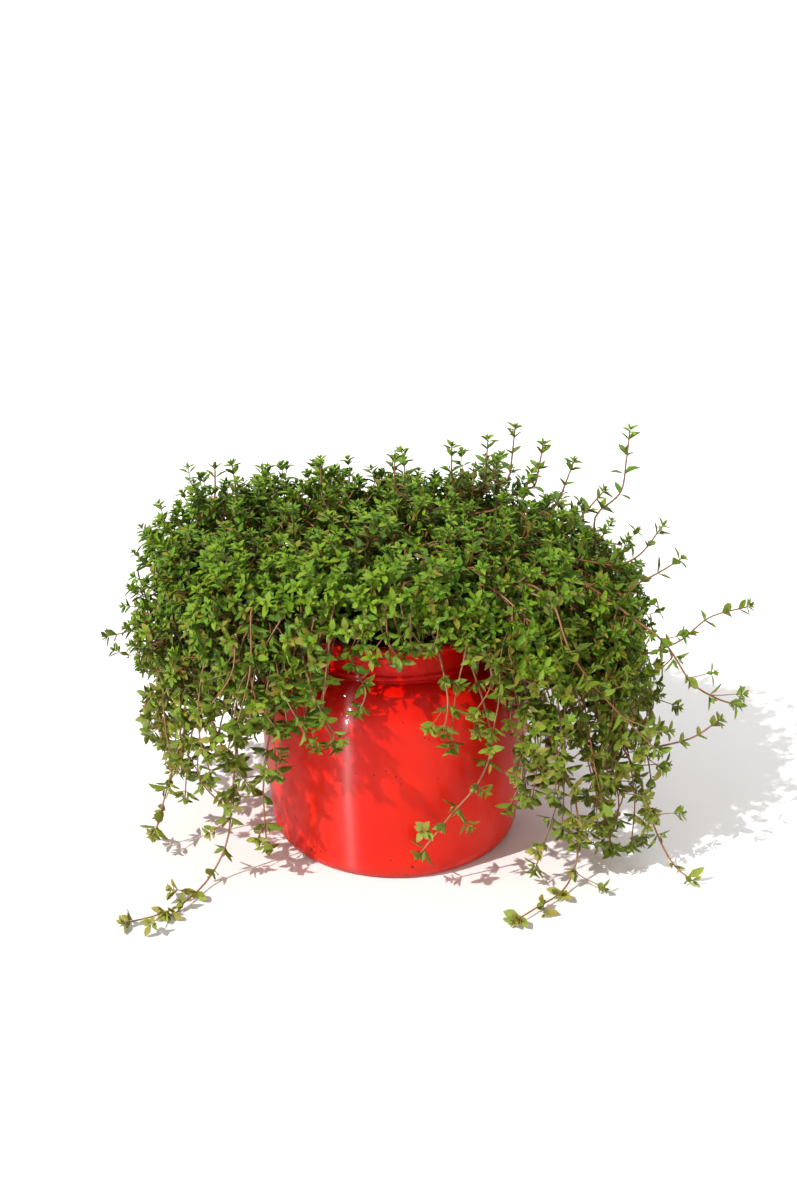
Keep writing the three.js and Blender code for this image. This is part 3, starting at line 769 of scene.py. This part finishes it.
def fringes(wood):
    """Strands that leave the nearest stem, hang down, and turn out a little at the tip."""
    for n, (azimuths, count, shares, reaches, heights) in enumerate(FRINGES):
        for j in range(count):
            seed = 3000 + 100 * n + j
            azimuth = mix(*azimuths, (j + draw(seed, 41)) / count)
            v = mix(*shares, draw(seed, 42))
            radius, height = tilted_outline(azimuth, v)
            top = at(azimuth, radius, height) - outward(azimuth, v) * 7
            low = mix(*heights, draw(seed, 43) ** 1.3)
            if low > height - 12:
                continue
            swing = azimuth + 20 * sway(seed, 44)
            far = max(radius + mix(*reaches, draw(seed, 45)), pot_outer(low) + 8)
            turn = mix(azimuth, swing, 0.4) + 9 * sway(seed, 46)
            middle = at(turn, mix(radius, far, 0.45) + 8 * (draw(seed, 47) - 0.3), mix(height, low, 0.5))
            spray, start, _ = wood.nearest(top, 8)
            line = curve([start, top, middle, at(swing, far, low)], 16)
            twig = spray.grow(line, 1.3, 1.4, 0.85, 0.45)
            if twig:
                strand_leaves(spray, twig, seed, STRAND_BARE, STRAND_LEAVES)


def main_leaves(sprays):
    for n, spray in enumerate(sprays):
        if spray.trailing:
            strand_leaves(spray, spray.path, 700 + 50 * n, TRAIL_BARE, TRAIL_LEAVES)
        else:
            leafy(spray, spray.path, 60 + n, 5, 3.5, 6.5, 1.0, 0.3)


def strand_leaves(spray, path, seed, bare, size):
    """Pairs along a trailing or hanging stem, with tufts in their axils and short branchlets."""
    turn = draw(seed, 1) * pi
    rosette(spray, path, seed, turn, size, 0.1)
    back, k = 4.0, 0
    while path.length - back > bare:
        draws = seed + 11 * k
        point, direction = path.place(path.length - back)
        age = 0.18 * draw(draws, 5)
        quarter = turn + k * pi / 2
        leaf_pair(spray, point, direction, quarter, draws, size, age, 0.35, FINE, STRAND_TUFTS)
        if draw(draws, 12) < 0.6 and back > 10:
            branchlet(spray, point, direction, draws)
        back += 11.0 + 7.0 * draw(draws, 13)
        k += 1


def branchlet(spray, point, direction, seed):
    out = sideways(direction, draw(seed, 14) * 2 * pi)
    away = unit(point * (1, 1, 0))
    way = unit(out + direction * 0.6 + away * 0.9)
    tip = point + way * (6 + 13 * draw(seed, 15)) + UP * 2
    twig = spray.grow(bow(point, unit(direction + out), tip, way, 5), 0.85, 1, 0.6, 0.15)
    if twig:
        leafy(spray, twig, seed + 5000, 1, 3.4, 4.5, BRANCHLET_LEAVES, 0.05)


# Shares of a leaf's length and of its half width at the stations of its outline
STATIONS = {
    FINE: [(0.17, 0.46), (0.45, 1.0), (0.76, 0.68)],
    PLAIN: [(0.30, 0.86), (0.66, 0.80)],
    COARSE: [(0.46, 1.0)],
}


def leaf_template(stations):
    """A closed blade: points as length share, side share and skin (1 upper, -1 lower, 0 edge), and faces."""
    points = [(0, 0, 0)]
    for t, w in stations:
        points += [(t, -w, 0), (t, 0, 1), (t, w, 0), (t, 0, -1)]
    points.append((1, 0, 0))
    tip = len(points) - 1
    faces = []
    for k in range(len(stations) + 1):
        low, high = 1 + 4 * (k - 1), 1 + 4 * k
        for a, b in ((0, 1), (1, 2), (2, 3), (3, 0)):
            if k == 0:
                faces.append((0, high + b, high + a))
            elif k == len(stations):
                faces.append((low + a, low + b, tip))
            else:
                faces.append((low + a, low + b, high + b, high + a))
    return np.array(points), faces


def blades(records, template, faces):
    """The points, faces and attributes of many leaves at once."""
    base, way, across, up = (np.array([r[k] for r in records])[:, None, :] for k in range(4))
    length, age, seed = (np.array([r[k] for r in records])[:, None] for k in (4, 5, 6))
    t, side, skin = template[:, 0], template[:, 1], template[:, 2]
    width = length * mix(NARROW_LEAF, BROAD_LEAF, np.modf(seed * 7.3)[0])
    fold = 0.25 + 0.35 * np.modf(seed * 13.7)[0]
    curl = 0.22 * (np.modf(seed * 29.1)[0] - 0.35) + 0.1 * age
    x = length * t
    y = width / 2 * side
    z = fold * np.abs(y) - curl * length * t * t + skin * LEAF_THICK / 2
    points = base + x[..., None] * way + y[..., None] * across + z[..., None] * up
    points[..., 2] += np.maximum(0.0, GROUND_GAP - points[..., 2].min(axis=1))[:, None]
    count, size = len(records), len(t)
    under, edge = 0.5 - skin / 2, skin == 0
    values = {"along": t, "across": side, "under": under, "age": age, "tint": seed, "edge": edge}
    attributes = {key: np.broadcast_to(value, (count, size)).reshape(-1) for key, value in values.items()}
    all_faces = [tuple(v + n * size for v in face) for n in range(count) for face in faces]
    return points.reshape(-1, 3), all_faces, attributes


def add_object(name, data):
    new = bpy.data.objects.new(name, data)
    bpy.context.scene.collection.objects.link(new)
    return new


def make_mesh(name, points, faces, attributes, material, sharp=None):
    mesh = bpy.data.meshes.new(name)
    mesh.from_pydata(points * MM, [], faces, shade_flat=False)
    for key, values in attributes.items():
        layer = mesh.attributes.new(key, "FLOAT", "POINT")
        layer.data.foreach_set("value", np.asarray(values, np.float32))
    if sharp is not None:
        ends = np.zeros(len(mesh.edges) * 2, np.int32)
        mesh.edges.foreach_get("vertices", ends)
        ends = ends.reshape(-1, 2)
        layer = mesh.attributes.new("sharp_edge", "BOOLEAN", "EDGE")
        layer.data.foreach_set("value", sharp[ends[:, 0]] & sharp[ends[:, 1]])
    mesh.materials.append(material)
    return add_object(name, mesh)


def joined(parts):
    """The points and faces of several meshes as those of one."""
    faces, offset = [], 0
    for points, part_faces in parts:
        faces += [tuple(v + offset for v in face) for face in part_faces]
        offset += len(points)
    return np.vstack([points for points, _ in parts]), faces


def ring_faces(rings, sides):
    """Faces of a closed body of rings of points, with the middles of its two ends as the last points."""
    faces, start, last = [], rings * sides, (rings - 1) * sides
    for k in range(sides):
        after = (k + 1) % sides
        faces += [(start, after, k)]
        for low in range(0, last, sides):
            faces += [(low + k, low + after, low + sides + after, low + sides + k)]
        faces += [(last + k, last + after, start + 1)]
    return faces


def leaf_piece(spray, material):
    grown = [(leaf_template(STATIONS[grade]), leaves) for grade, leaves in spray.leaves.items() if leaves]
    groups = [blades(leaves, *template) for template, leaves in grown]
    points, faces = joined([group[:2] for group in groups])
    attributes = {key: np.concatenate([group[2][key] for group in groups]) for key in groups[0][2]}
    sharp = attributes.pop("edge").astype(bool)
    return make_mesh(f"{spray.name}_leaves", points, faces, attributes, material, sharp)


def tube(line, thick, thin, sides):
    """Points and faces of a closed tapering tube along a line."""
    tangents = np.gradient(line, axis=0)
    tangents /= np.maximum(norm(tangents, axis=1, keepdims=True), 1e-9)
    across = np.array([1.0, 0.0, 0.0])
    rings = []
    for i, along in enumerate(tangents):
        across = unit(across - along * float(across @ along))
        beside = np.cross(along, across)
        radius = mix(thick, thin, i / (len(line) - 1))
        for k in range(sides):
            a = 2 * pi * k / sides
            rings.append(line[i] + radius * (cos(a) * across + sin(a) * beside))
    points = np.vstack([rings, line[0], line[-1] + tangents[-1] * thin])
    return points, ring_faces(len(line), sides)


def stem_piece(spray, material):
    thick, thin = (TRAIL_THICK, TRAIL_THIN) if spray.trailing else (STEM_THICK, STEM_THIN)
    main = (spray.path.line, thick, thin, 1.0, 0.3)
    tubes, ages = [], []
    for n, (line, thick, thin, old, young) in enumerate([main, *spray.twigs]):
        sides = STEM_SIDES if n == 0 else TWIG_SIDES
        tubes.append(tube(line, thick, thin, sides))
        ages += [np.repeat(np.linspace(old, young, len(line)), sides), [old, young]]
    return make_mesh(f"{spray.name}_stems", *joined(tubes), {"age": np.concatenate(ages)}, material)


class Nodes:
    """A short way to write a material's node tree."""

    def __init__(self, name):
        self.material = bpy.data.materials.new(name)
        self.material.use_nodes = True
        self.tree = self.material.node_tree
        self.shader = self.tree.nodes["Principled BSDF"]

    def add(self, kind, links=None, **settings):
        node = self.tree.nodes.new("ShaderNode" + kind)
        for key, value in settings.items():
            setattr(node, key, value)
        for key, value in (links or {}).items():
            self.set(node.inputs[key], value)
        return node

    def set(self, socket, value):
        if isinstance(value, bpy.types.NodeSocket):
            self.tree.links.new(value, socket)
        else:
            socket.default_value = value

    def value(self, name):
        return self.add("Attribute", attribute_name=name).outputs["Fac"]

    def math(self, operation, a, b=0.0):
        return self.add("Math", {0: a, 1: b}, operation=operation).outputs[0]

    def times(self, a, b):
        return self.math("MULTIPLY", a, b)

    def plus(self, a, b):
        return self.math("ADD", a, b)

    def mix(self, factor, a, b):
        return self.add("Mix", {"Factor": factor, "A": a, "B": b}, data_type="RGBA").outputs["Result"]

    def noise(self, scale, detail, place, roughness=0.5):
        links = {"Scale": scale, "Detail": detail, "Vector": place, "Roughness": roughness}
        return self.add("TexNoise", links).outputs["Fac"]

    def ramp(self, factor, *stops):
        node = self.add("ValToRGB", {"Fac": factor})
        while len(node.color_ramp.elements) < len(stops):
            node.color_ramp.elements.new(0.5)
        for element, (place, color) in zip(node.color_ramp.elements, stops):
            element.position = place
            element.color = color
        return node.outputs["Color"]

    def range(self, value, low, high, to_low=0.0, to_high=1.0):
        links = {"Value": value, "From Min": low, "From Max": high, "To Min": to_low, "To Max": to_high}
        return self.add("MapRange", links).outputs[0]

    def bump(self, height, distance, strength):
        links = {"Height": height, "Distance": distance, "Strength": strength}
        return self.add("Bump", links).outputs["Normal"]

    def height(self, place):
        return self.add("SeparateXYZ", {"Vector": place}).outputs["Z"]

    def place(self):
        return self.add("NewGeometry").outputs["Position"]

    def finish(self, **sockets):
        for key, value in sockets.items():
            self.set(self.shader.inputs[key.replace("_", " ")], value)
        return self.material


YOUNG_GREEN = (0.30, 0.46, 0.010, 1)
FRESH_GREEN = (0.190, 0.375, 0.006, 1)
MATURE_GREEN = (0.102, 0.245, 0.006, 1)
OLD_GREEN = (0.115, 0.105, 0.010, 1)
UNDER_GREEN = (0.20, 0.30, 0.04, 1)
MOTTLE_GREEN = (0.10, 0.22, 0.03, 1)
MIDRIB_GREEN = (0.22, 0.36, 0.10, 1)
THROUGH_GREEN = (0.18, 0.39, 0.03, 1)
EDGE_RED = (0.25, 0.07, 0.03, 1)
BRONZE = (0.38, 0.20, 0.035, 1)
# Painted light: a pale yellow that lightens leaves low down near the ground.
LOW_PAINTED_LIGHT = (0.56, 0.48, 0.11, 1)


def leaf_material():
    n = Nodes("thyme_leaf")
    tint = n.value("tint")
    place = n.place()
    patches = n.math("SUBTRACT", n.noise(38.0, 2.0, place), 0.5)
    # The age attribute also carries painted shade and painted light: older, darker leaves in the clumps'
    # hollows and younger, lighter leaves low on the skirt.
    age = n.plus(n.value("age"), n.times(n.math("SUBTRACT", tint, 0.42), 0.55))
    age = n.plus(age, n.times(patches, 1.1))
    green = n.ramp(age, (0.0, YOUNG_GREEN), (0.25, FRESH_GREEN), (0.55, MATURE_GREEN), (1.0, OLD_GREEN))
    mottle = n.noise(900.0, 3.0, place)
    green = n.mix(n.range(mottle, 0.35, 0.7, 0.0, 0.35), green, MOTTLE_GREEN)
    across = n.math("ABSOLUTE", n.value("across"))
    green = n.mix(n.range(across, 0.0, 0.16, 0.55, 0.0), green, MIDRIB_GREEN)
    red_edge = n.times(n.range(across, 0.75, 1.0), n.range(tint, 0.86, 1.0, 0.0, 0.45))
    green = n.mix(red_edge, green, EDGE_RED)
    height = n.height(place)
    bronze_share = n.plus(n.range(height, 0.075, 0.165, 0.64, 0.12), n.times(patches, 0.9))
    other_tint = n.math("FRACT", n.times(tint, 17.0))
    bronze = n.range(n.math("SUBTRACT", bronze_share, other_tint), 0.0, 0.12, 0.0, 0.55)
    green = n.mix(bronze, green, BRONZE)
    # Painted light: below 120 mm, leaves are mixed more and more towards a pale yellow, most at 30 mm and
    # under.
    green = n.mix(n.range(height, 0.03, 0.12, 0.36, 0.0), green, LOW_PAINTED_LIGHT)
    under = n.math("GREATER_THAN", n.value("under"), 0.5)
    color = n.mix(n.times(under, 0.7), green, UNDER_GREEN)
    herring = n.plus(n.times(n.value("along"), 14.0), n.times(across, -5.0))
    vector = n.add("CombineXYZ", {"X": herring}).outputs[0]
    veins = n.add("TexWave", {"Vector": vector, "Scale": 1.0, "Distortion": 0.0}).outputs["Fac"]
    relief = n.plus(n.times(veins, 0.4), n.times(mottle, 0.6))
    n.finish(
        Base_Color=color,
        Roughness=n.range(mottle, 0.3, 0.7, 0.32, 0.48),
        Normal=n.bump(relief, 0.00012, 0.6),
        Specular_IOR_Level=0.25,
    )
    translucent = n.add("BsdfTranslucent", {"Color": n.mix(0.5, color, THROUGH_GREEN)})
    mixed = n.add("MixShader", {0: 0.24, 1: n.shader.outputs[0], 2: translucent.outputs[0]})
    n.set(n.tree.nodes["Material Output"].inputs["Surface"], mixed.outputs[0])
    return n.material


def stem_material():
    n = Nodes("thyme_stem")
    age = n.value("age")
    place = n.place()
    grain = n.noise(700.0, 3.0, place)
    color = n.ramp(
        n.plus(age, n.times(n.math("SUBTRACT", grain, 0.5), 0.35)),
        (0.1, (0.20, 0.22, 0.03, 1)),
        (0.35, (0.31, 0.125, 0.035, 1)),
        (0.75, (0.23, 0.090, 0.030, 1)),
        (1.0, (0.14, 0.070, 0.030, 1)),
    )
    return n.finish(Base_Color=color, Roughness=0.55, Normal=n.bump(grain, 0.0002, 0.5))


DEEP_GLAZE = (0.64, 0.008, 0.002, 1)
BRIGHT_GLAZE = (0.76, 0.018, 0.003, 1)
# Painted shade: a darker, deeper red for the neck and upper shoulder under the foliage.
NECK_PAINTED_SHADE = (0.62, 0.002, 0.0005, 1)
THIN_GLAZE = (0.90, 0.05, 0.02, 1)
SPECK_BROWN = (0.030, 0.010, 0.008, 1)
DUST_BROWN = (0.10, 0.055, 0.035, 1)


def glaze_material():
    n = Nodes("pot_glaze")
    place = n.place()
    broad = n.noise(14.0, 3.0, place)
    color = n.mix(n.range(broad, 0.35, 0.7), DEEP_GLAZE, BRIGHT_GLAZE)
    height = n.height(place)
    # Painted shade: from 92 mm up, the neck and upper shoulder turn to a darker, deeper red.
    color = n.mix(n.range(height, 0.092, 0.108, 0.0, 0.85), color, NECK_PAINTED_SHADE)
    color = n.mix(n.range(height, 0.124, 0.1285, 0.0, 0.4), color, THIN_GLAZE)
    specks = n.add("TexVoronoi", {"Vector": place, "Scale": 260.0})
    low = n.range(height, 0.004, 0.040, 0.26, 0.14)
    speck_size = n.times(n.range(n.noise(55.0, 2.0, place), 0.56, 0.66), low)
    speck = n.math("LESS_THAN", specks.outputs["Distance"], speck_size)
    color = n.mix(n.times(speck, 0.85), color, SPECK_BROWN)
    dust = n.times(n.range(height, 0.0, 0.012, 0.5, 0.0), n.noise(180.0, 4.0, place))
    color = n.mix(dust, color, DUST_BROWN)
    waves = n.plus(n.noise(22.0, 2.0, place), n.times(n.noise(420.0, 2.0, place), 0.05))
    turning = n.add("Tangent", direction_type="RADIAL", axis="Z")
    return n.finish(
        Base_Color=color,
        Roughness=n.range(n.noise(35.0, 3.0, place), 0.3, 0.75, 0.31, 0.36),
        Normal=n.bump(waves, 0.0012, 0.3),
        Tangent=turning.outputs[0],
        Specular_IOR_Level=0.15,
        Anisotropic=1.0,
        Anisotropic_Rotation=0.25,
        Coat_Weight=0.12,
        Coat_Roughness=0.06,
    )


def soil_material():
    n = Nodes("potting_soil")
    place = n.place()
    crumbs = n.noise(380.0, 6.0, place, 0.7)
    color = n.ramp(
        crumbs,
        (0.3, (0.010, 0.006, 0.004, 1)),
        (0.55, (0.045, 0.026, 0.015, 1)),
        (0.8, (0.11, 0.065, 0.035, 1)),
    )
    return n.finish(Base_Color=color, Roughness=0.95, Normal=n.bump(crumbs, 0.0012, 0.9))


def stage_material():
    n = Nodes("pale_stage")
    grain = n.noise(40.0, 3.0, n.place())
    color = n.mix(grain, (0.88, 0.88, 0.90, 1), (0.91, 0.91, 0.92, 1))
    return n.finish(Base_Color=color, Roughness=0.75)


def arc(centre, radii, start, end, steps):
    turns = [radians(mix(start, end, k / steps)) for k in range(steps + 1)]
    return [(centre[0] + radii[0] * cos(a), centre[1] + radii[1] * sin(a)) for a in turns]


def pot_profile():
    """Radius and height from the underside's middle, up the outside, and down the inside to the floor."""
    inner_heel = HEEL_RADIUS - WALL
    outside = [(20, 0), (40, 0), (54, 0)]
    outside += arc((BASE_RADIUS, HEEL_HEIGHT), (HEEL_RADIUS - BASE_RADIUS, HEEL_HEIGHT), -90, 0, 10)
    for t in (0.1, 0.3, 0.5, 0.7, 0.9):
        radius, height = mix(HEEL_RADIUS, SHOULDER_RADIUS, t), mix(HEEL_HEIGHT, SHOULDER_HEIGHT, t)
        bulge = SIDE_BULGE * sin(pi * (height - HEEL_HEIGHT) / (SHOULDER_HEIGHT - HEEL_HEIGHT))
        outside.append((radius + bulge, height))
    outside += arc((NECK_RADIUS, SHOULDER_HEIGHT), (SHOULDER_DEPTH, SHOULDER_CURVE), 4, 80, 16)
    bead = (NECK_RADIUS - 0.4, NECK_HEIGHT + BEAD_HEIGHT / 2)
    outside += arc(bead, (BEAD_DEPTH + 0.6, BEAD_HEIGHT / 2), -70, 80, 7)
    lip = POT_HEIGHT - LIP_HEIGHT
    outside += [(NECK_RADIUS, NECK_HEIGHT + BEAD_HEIGHT + 1), (NECK_RADIUS, lip - 1)]
    for t in (0.2, 0.45, 0.7, 0.9):
        radius = mix(NECK_RADIUS, LIP_RADIUS, smooth(t, 0, 1))
        outside.append((radius, lip + t * (LIP_HEIGHT - RIM_ROUND)))
    rim, rim_turn = POT_HEIGHT - RIM_ROUND, (RIM_ROUND, RIM_ROUND)
    outside += arc((LIP_RADIUS - RIM_ROUND, rim), rim_turn, 0, 90, 6)
    inside = arc((INNER_NECK + RIM_ROUND, rim), rim_turn, 90, 180, 6)
    inside += [(INNER_NECK, SOIL_HEIGHT), (INNER_NECK, NECK_HEIGHT)]
    inside += arc((INNER_NECK, SHOULDER_HEIGHT), (SHOULDER_DEPTH, SHOULDER_CURVE - WALL), 80, 0, 8)
    inside += [(inner_heel, FLOOR + 5), (inner_heel - 4, FLOOR), (30, FLOOR)]
    return outside + inside


def revolve(profile, segments):
    """Points and faces of a closed body of revolution; the profile starts and ends beside the axis."""
    ring = [(cos(a), sin(a)) for a in (2 * pi * k / segments for k in range(segments))]
    points = [(r * c, r * s, z) for r, z in profile for c, s in ring]
    points += [(0, 0, profile[0][1]), (0, 0, profile[-1][1])]
    return np.array(points), ring_faces(len(profile), segments)


def pot_piece():
    points, faces = revolve(pot_profile(), POT_SEGMENTS)
    return make_mesh("glazed_pot", points, faces, {}, glaze_material())


def soil_piece():
    """The soil's body with a lumpy top, and loose crumbs half sunk in it."""
    edge = INNER_NECK - SEAT_GAP
    heel = HEEL_RADIUS - WALL - SEAT_GAP - 4.5
    side = arc((edge, SHOULDER_HEIGHT), (SHOULDER_DEPTH, SHOULDER_CURVE - WALL - 1), 0, 80, 6)
    seat = FLOOR + SEAT_GAP
    body = [(20, seat), (heel, seat), (heel + 3.5, FLOOR + 6), *side, (edge, NECK_HEIGHT)]
    top = [(edge * (1 - k / SOIL_RINGS), SOIL_HEIGHT) for k in range(SOIL_RINGS)]
    points, faces = revolve(body + top, SOIL_SEGMENTS)
    rng = np.random.default_rng(11)
    waves = [(rng.uniform(0.1, 0.9, 2), rng.uniform(0, 6.3), rng.uniform(0.15, 0.5)) for _ in range(26)]
    radius = np.hypot(points[:, 0], points[:, 1])
    on_top = points[:, 2] > SOIL_HEIGHT - 0.1
    lift = sum(h * np.sin(points[:, 0] * f[0] + points[:, 1] * f[1] * (1 if n % 2 else -1) + p)
               for n, (f, p, h) in enumerate(waves))
    points[:, 2] += np.where(on_top, np.clip(lift, -1.6, 1.2) - 0.4, 0) * np.clip((edge - radius) / 6, 0, 1)
    parts = [(points, faces), *(crumb(rng, edge) for _ in range(CRUMBS))]
    return make_mesh("soil_crumbs", *joined(parts), {}, soil_material())


def crumb(rng, edge):
    """A small rough lump on the soil's top: a lowest and a highest point, and a ring between them."""
    size = rng.uniform(*CRUMB_SIZES)
    angle, radius = rng.uniform(0, 2 * pi), sqrt(rng.uniform(0, 1)) * (edge - 3)
    height = SOIL_HEIGHT - 0.2 + rng.uniform(-0.5, 0.6)
    centre = np.array([radius * cos(angle), radius * sin(angle), height])
    points, faces = [(0, 0, -0.8), (0, 0, rng.uniform(0.5, 0.9))], []
    for k in range(CRUMB_SIDES):
        a = 2 * pi * k / CRUMB_SIDES + rng.uniform(-0.2, 0.2)
        reach = rng.uniform(0.7, 1.1)
        points.append((reach * cos(a), reach * sin(a), rng.uniform(-0.3, 0.3)))
        here, after = 2 + k, 2 + (k + 1) % CRUMB_SIDES
        faces += [(0, after, here), (1, here, after)]
    return centre + size * np.array(points), faces


def camera():
    eye = add_object("camera", bpy.data.cameras.new("camera"))
    eye.data.lens = CAMERA_LENS
    eye.data.sensor_width = SENSOR_WIDTH
    eye.location = CAMERA_PLACE
    eye.rotation_euler = (radians(90 - CAMERA_PITCH), 0, 0)
    bpy.context.scene.camera = eye


def sky():
    """Even light from all round, brighter near the horizon so that the ground ends in white."""
    world = bpy.data.worlds.new("studio")
    world.use_nodes = True
    nodes, links = world.node_tree.nodes, world.node_tree.links
    background = nodes["Background"].inputs
    background["Color"].default_value = SKY_COLOR
    direction = nodes.new("ShaderNodeTexCoord")
    split = nodes.new("ShaderNodeSeparateXYZ")
    fade = nodes.new("ShaderNodeMapRange")
    fade.interpolation_type = "SMOOTHSTEP"
    for key, value in (("From Max", HORIZON_BLUR), ("To Min", HORIZON_LIGHT), ("To Max", SKY_LIGHT)):
        fade.inputs[key].default_value = value
    links.new(direction.outputs["Generated"], split.inputs[0])
    links.new(split.outputs["Z"], fade.inputs["Value"])
    links.new(fade.outputs[0], background["Strength"])
    bpy.context.scene.world = world
    bpy.context.scene.view_settings.view_transform = "Standard"


def lights():
    key = bpy.data.lights.new("key", "SUN")
    key.energy = KEY_STRENGTH
    key.angle = radians(KEY_WIDTH)
    key.color = KEY_COLOR
    add_lamp(key, KEY_PLACE)
    for name, place, size, power, matt in LAMPS:
        light = bpy.data.lights.new(name, "AREA")
        light.shape = "RECTANGLE"
        light.size, light.size_y = size
        light.energy = power
        lamp = add_lamp(light, place)
        lamp.visible_diffuse = lamp.visible_transmission = matt


def add_lamp(light, place):
    """A lamp at a place, in metres, that faces the pot and doesn't show itself."""
    lamp = add_object(light.name, light)
    lamp.location = place
    lamp.visible_camera = False
    aim = np.subtract((0, 0, AIM_HEIGHT), place)
    lamp.rotation_euler = (acos(-aim[2] / norm(aim)), 0, atan2(-aim[0], aim[1]))
    return lamp


def stage():
    points = STAGE_SIZE / 2 / MM * np.array([(-1, -1, 0), (1, -1, 0), (1, 1, 0), (-1, 1, 0)])
    floor = make_mesh("floor", points, [(0, 1, 2, 3)], {}, stage_material())


def settle(piece, node):
    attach(piece, "root")
    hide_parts(node)


camera()
sky()
lights()
stage()
settle(pot_piece(), "pot")
settle(soil_piece(), "soil")

sprays = [*mound_sprays(), *trail_sprays()]
wood = main_wood(sprays)
main_leaves(sprays)
fringes(wood)
fill_shoots(wood)
for layer in LAYERS:
    side_shoots(wood, *layer)
long_shoots(wood)

leaf_look, stem_look = leaf_material(), stem_material()
for spray in sprays:
    settle(leaf_piece(spray, leaf_look), spray.name)
    settle(stem_piece(spray, stem_look), spray.name)
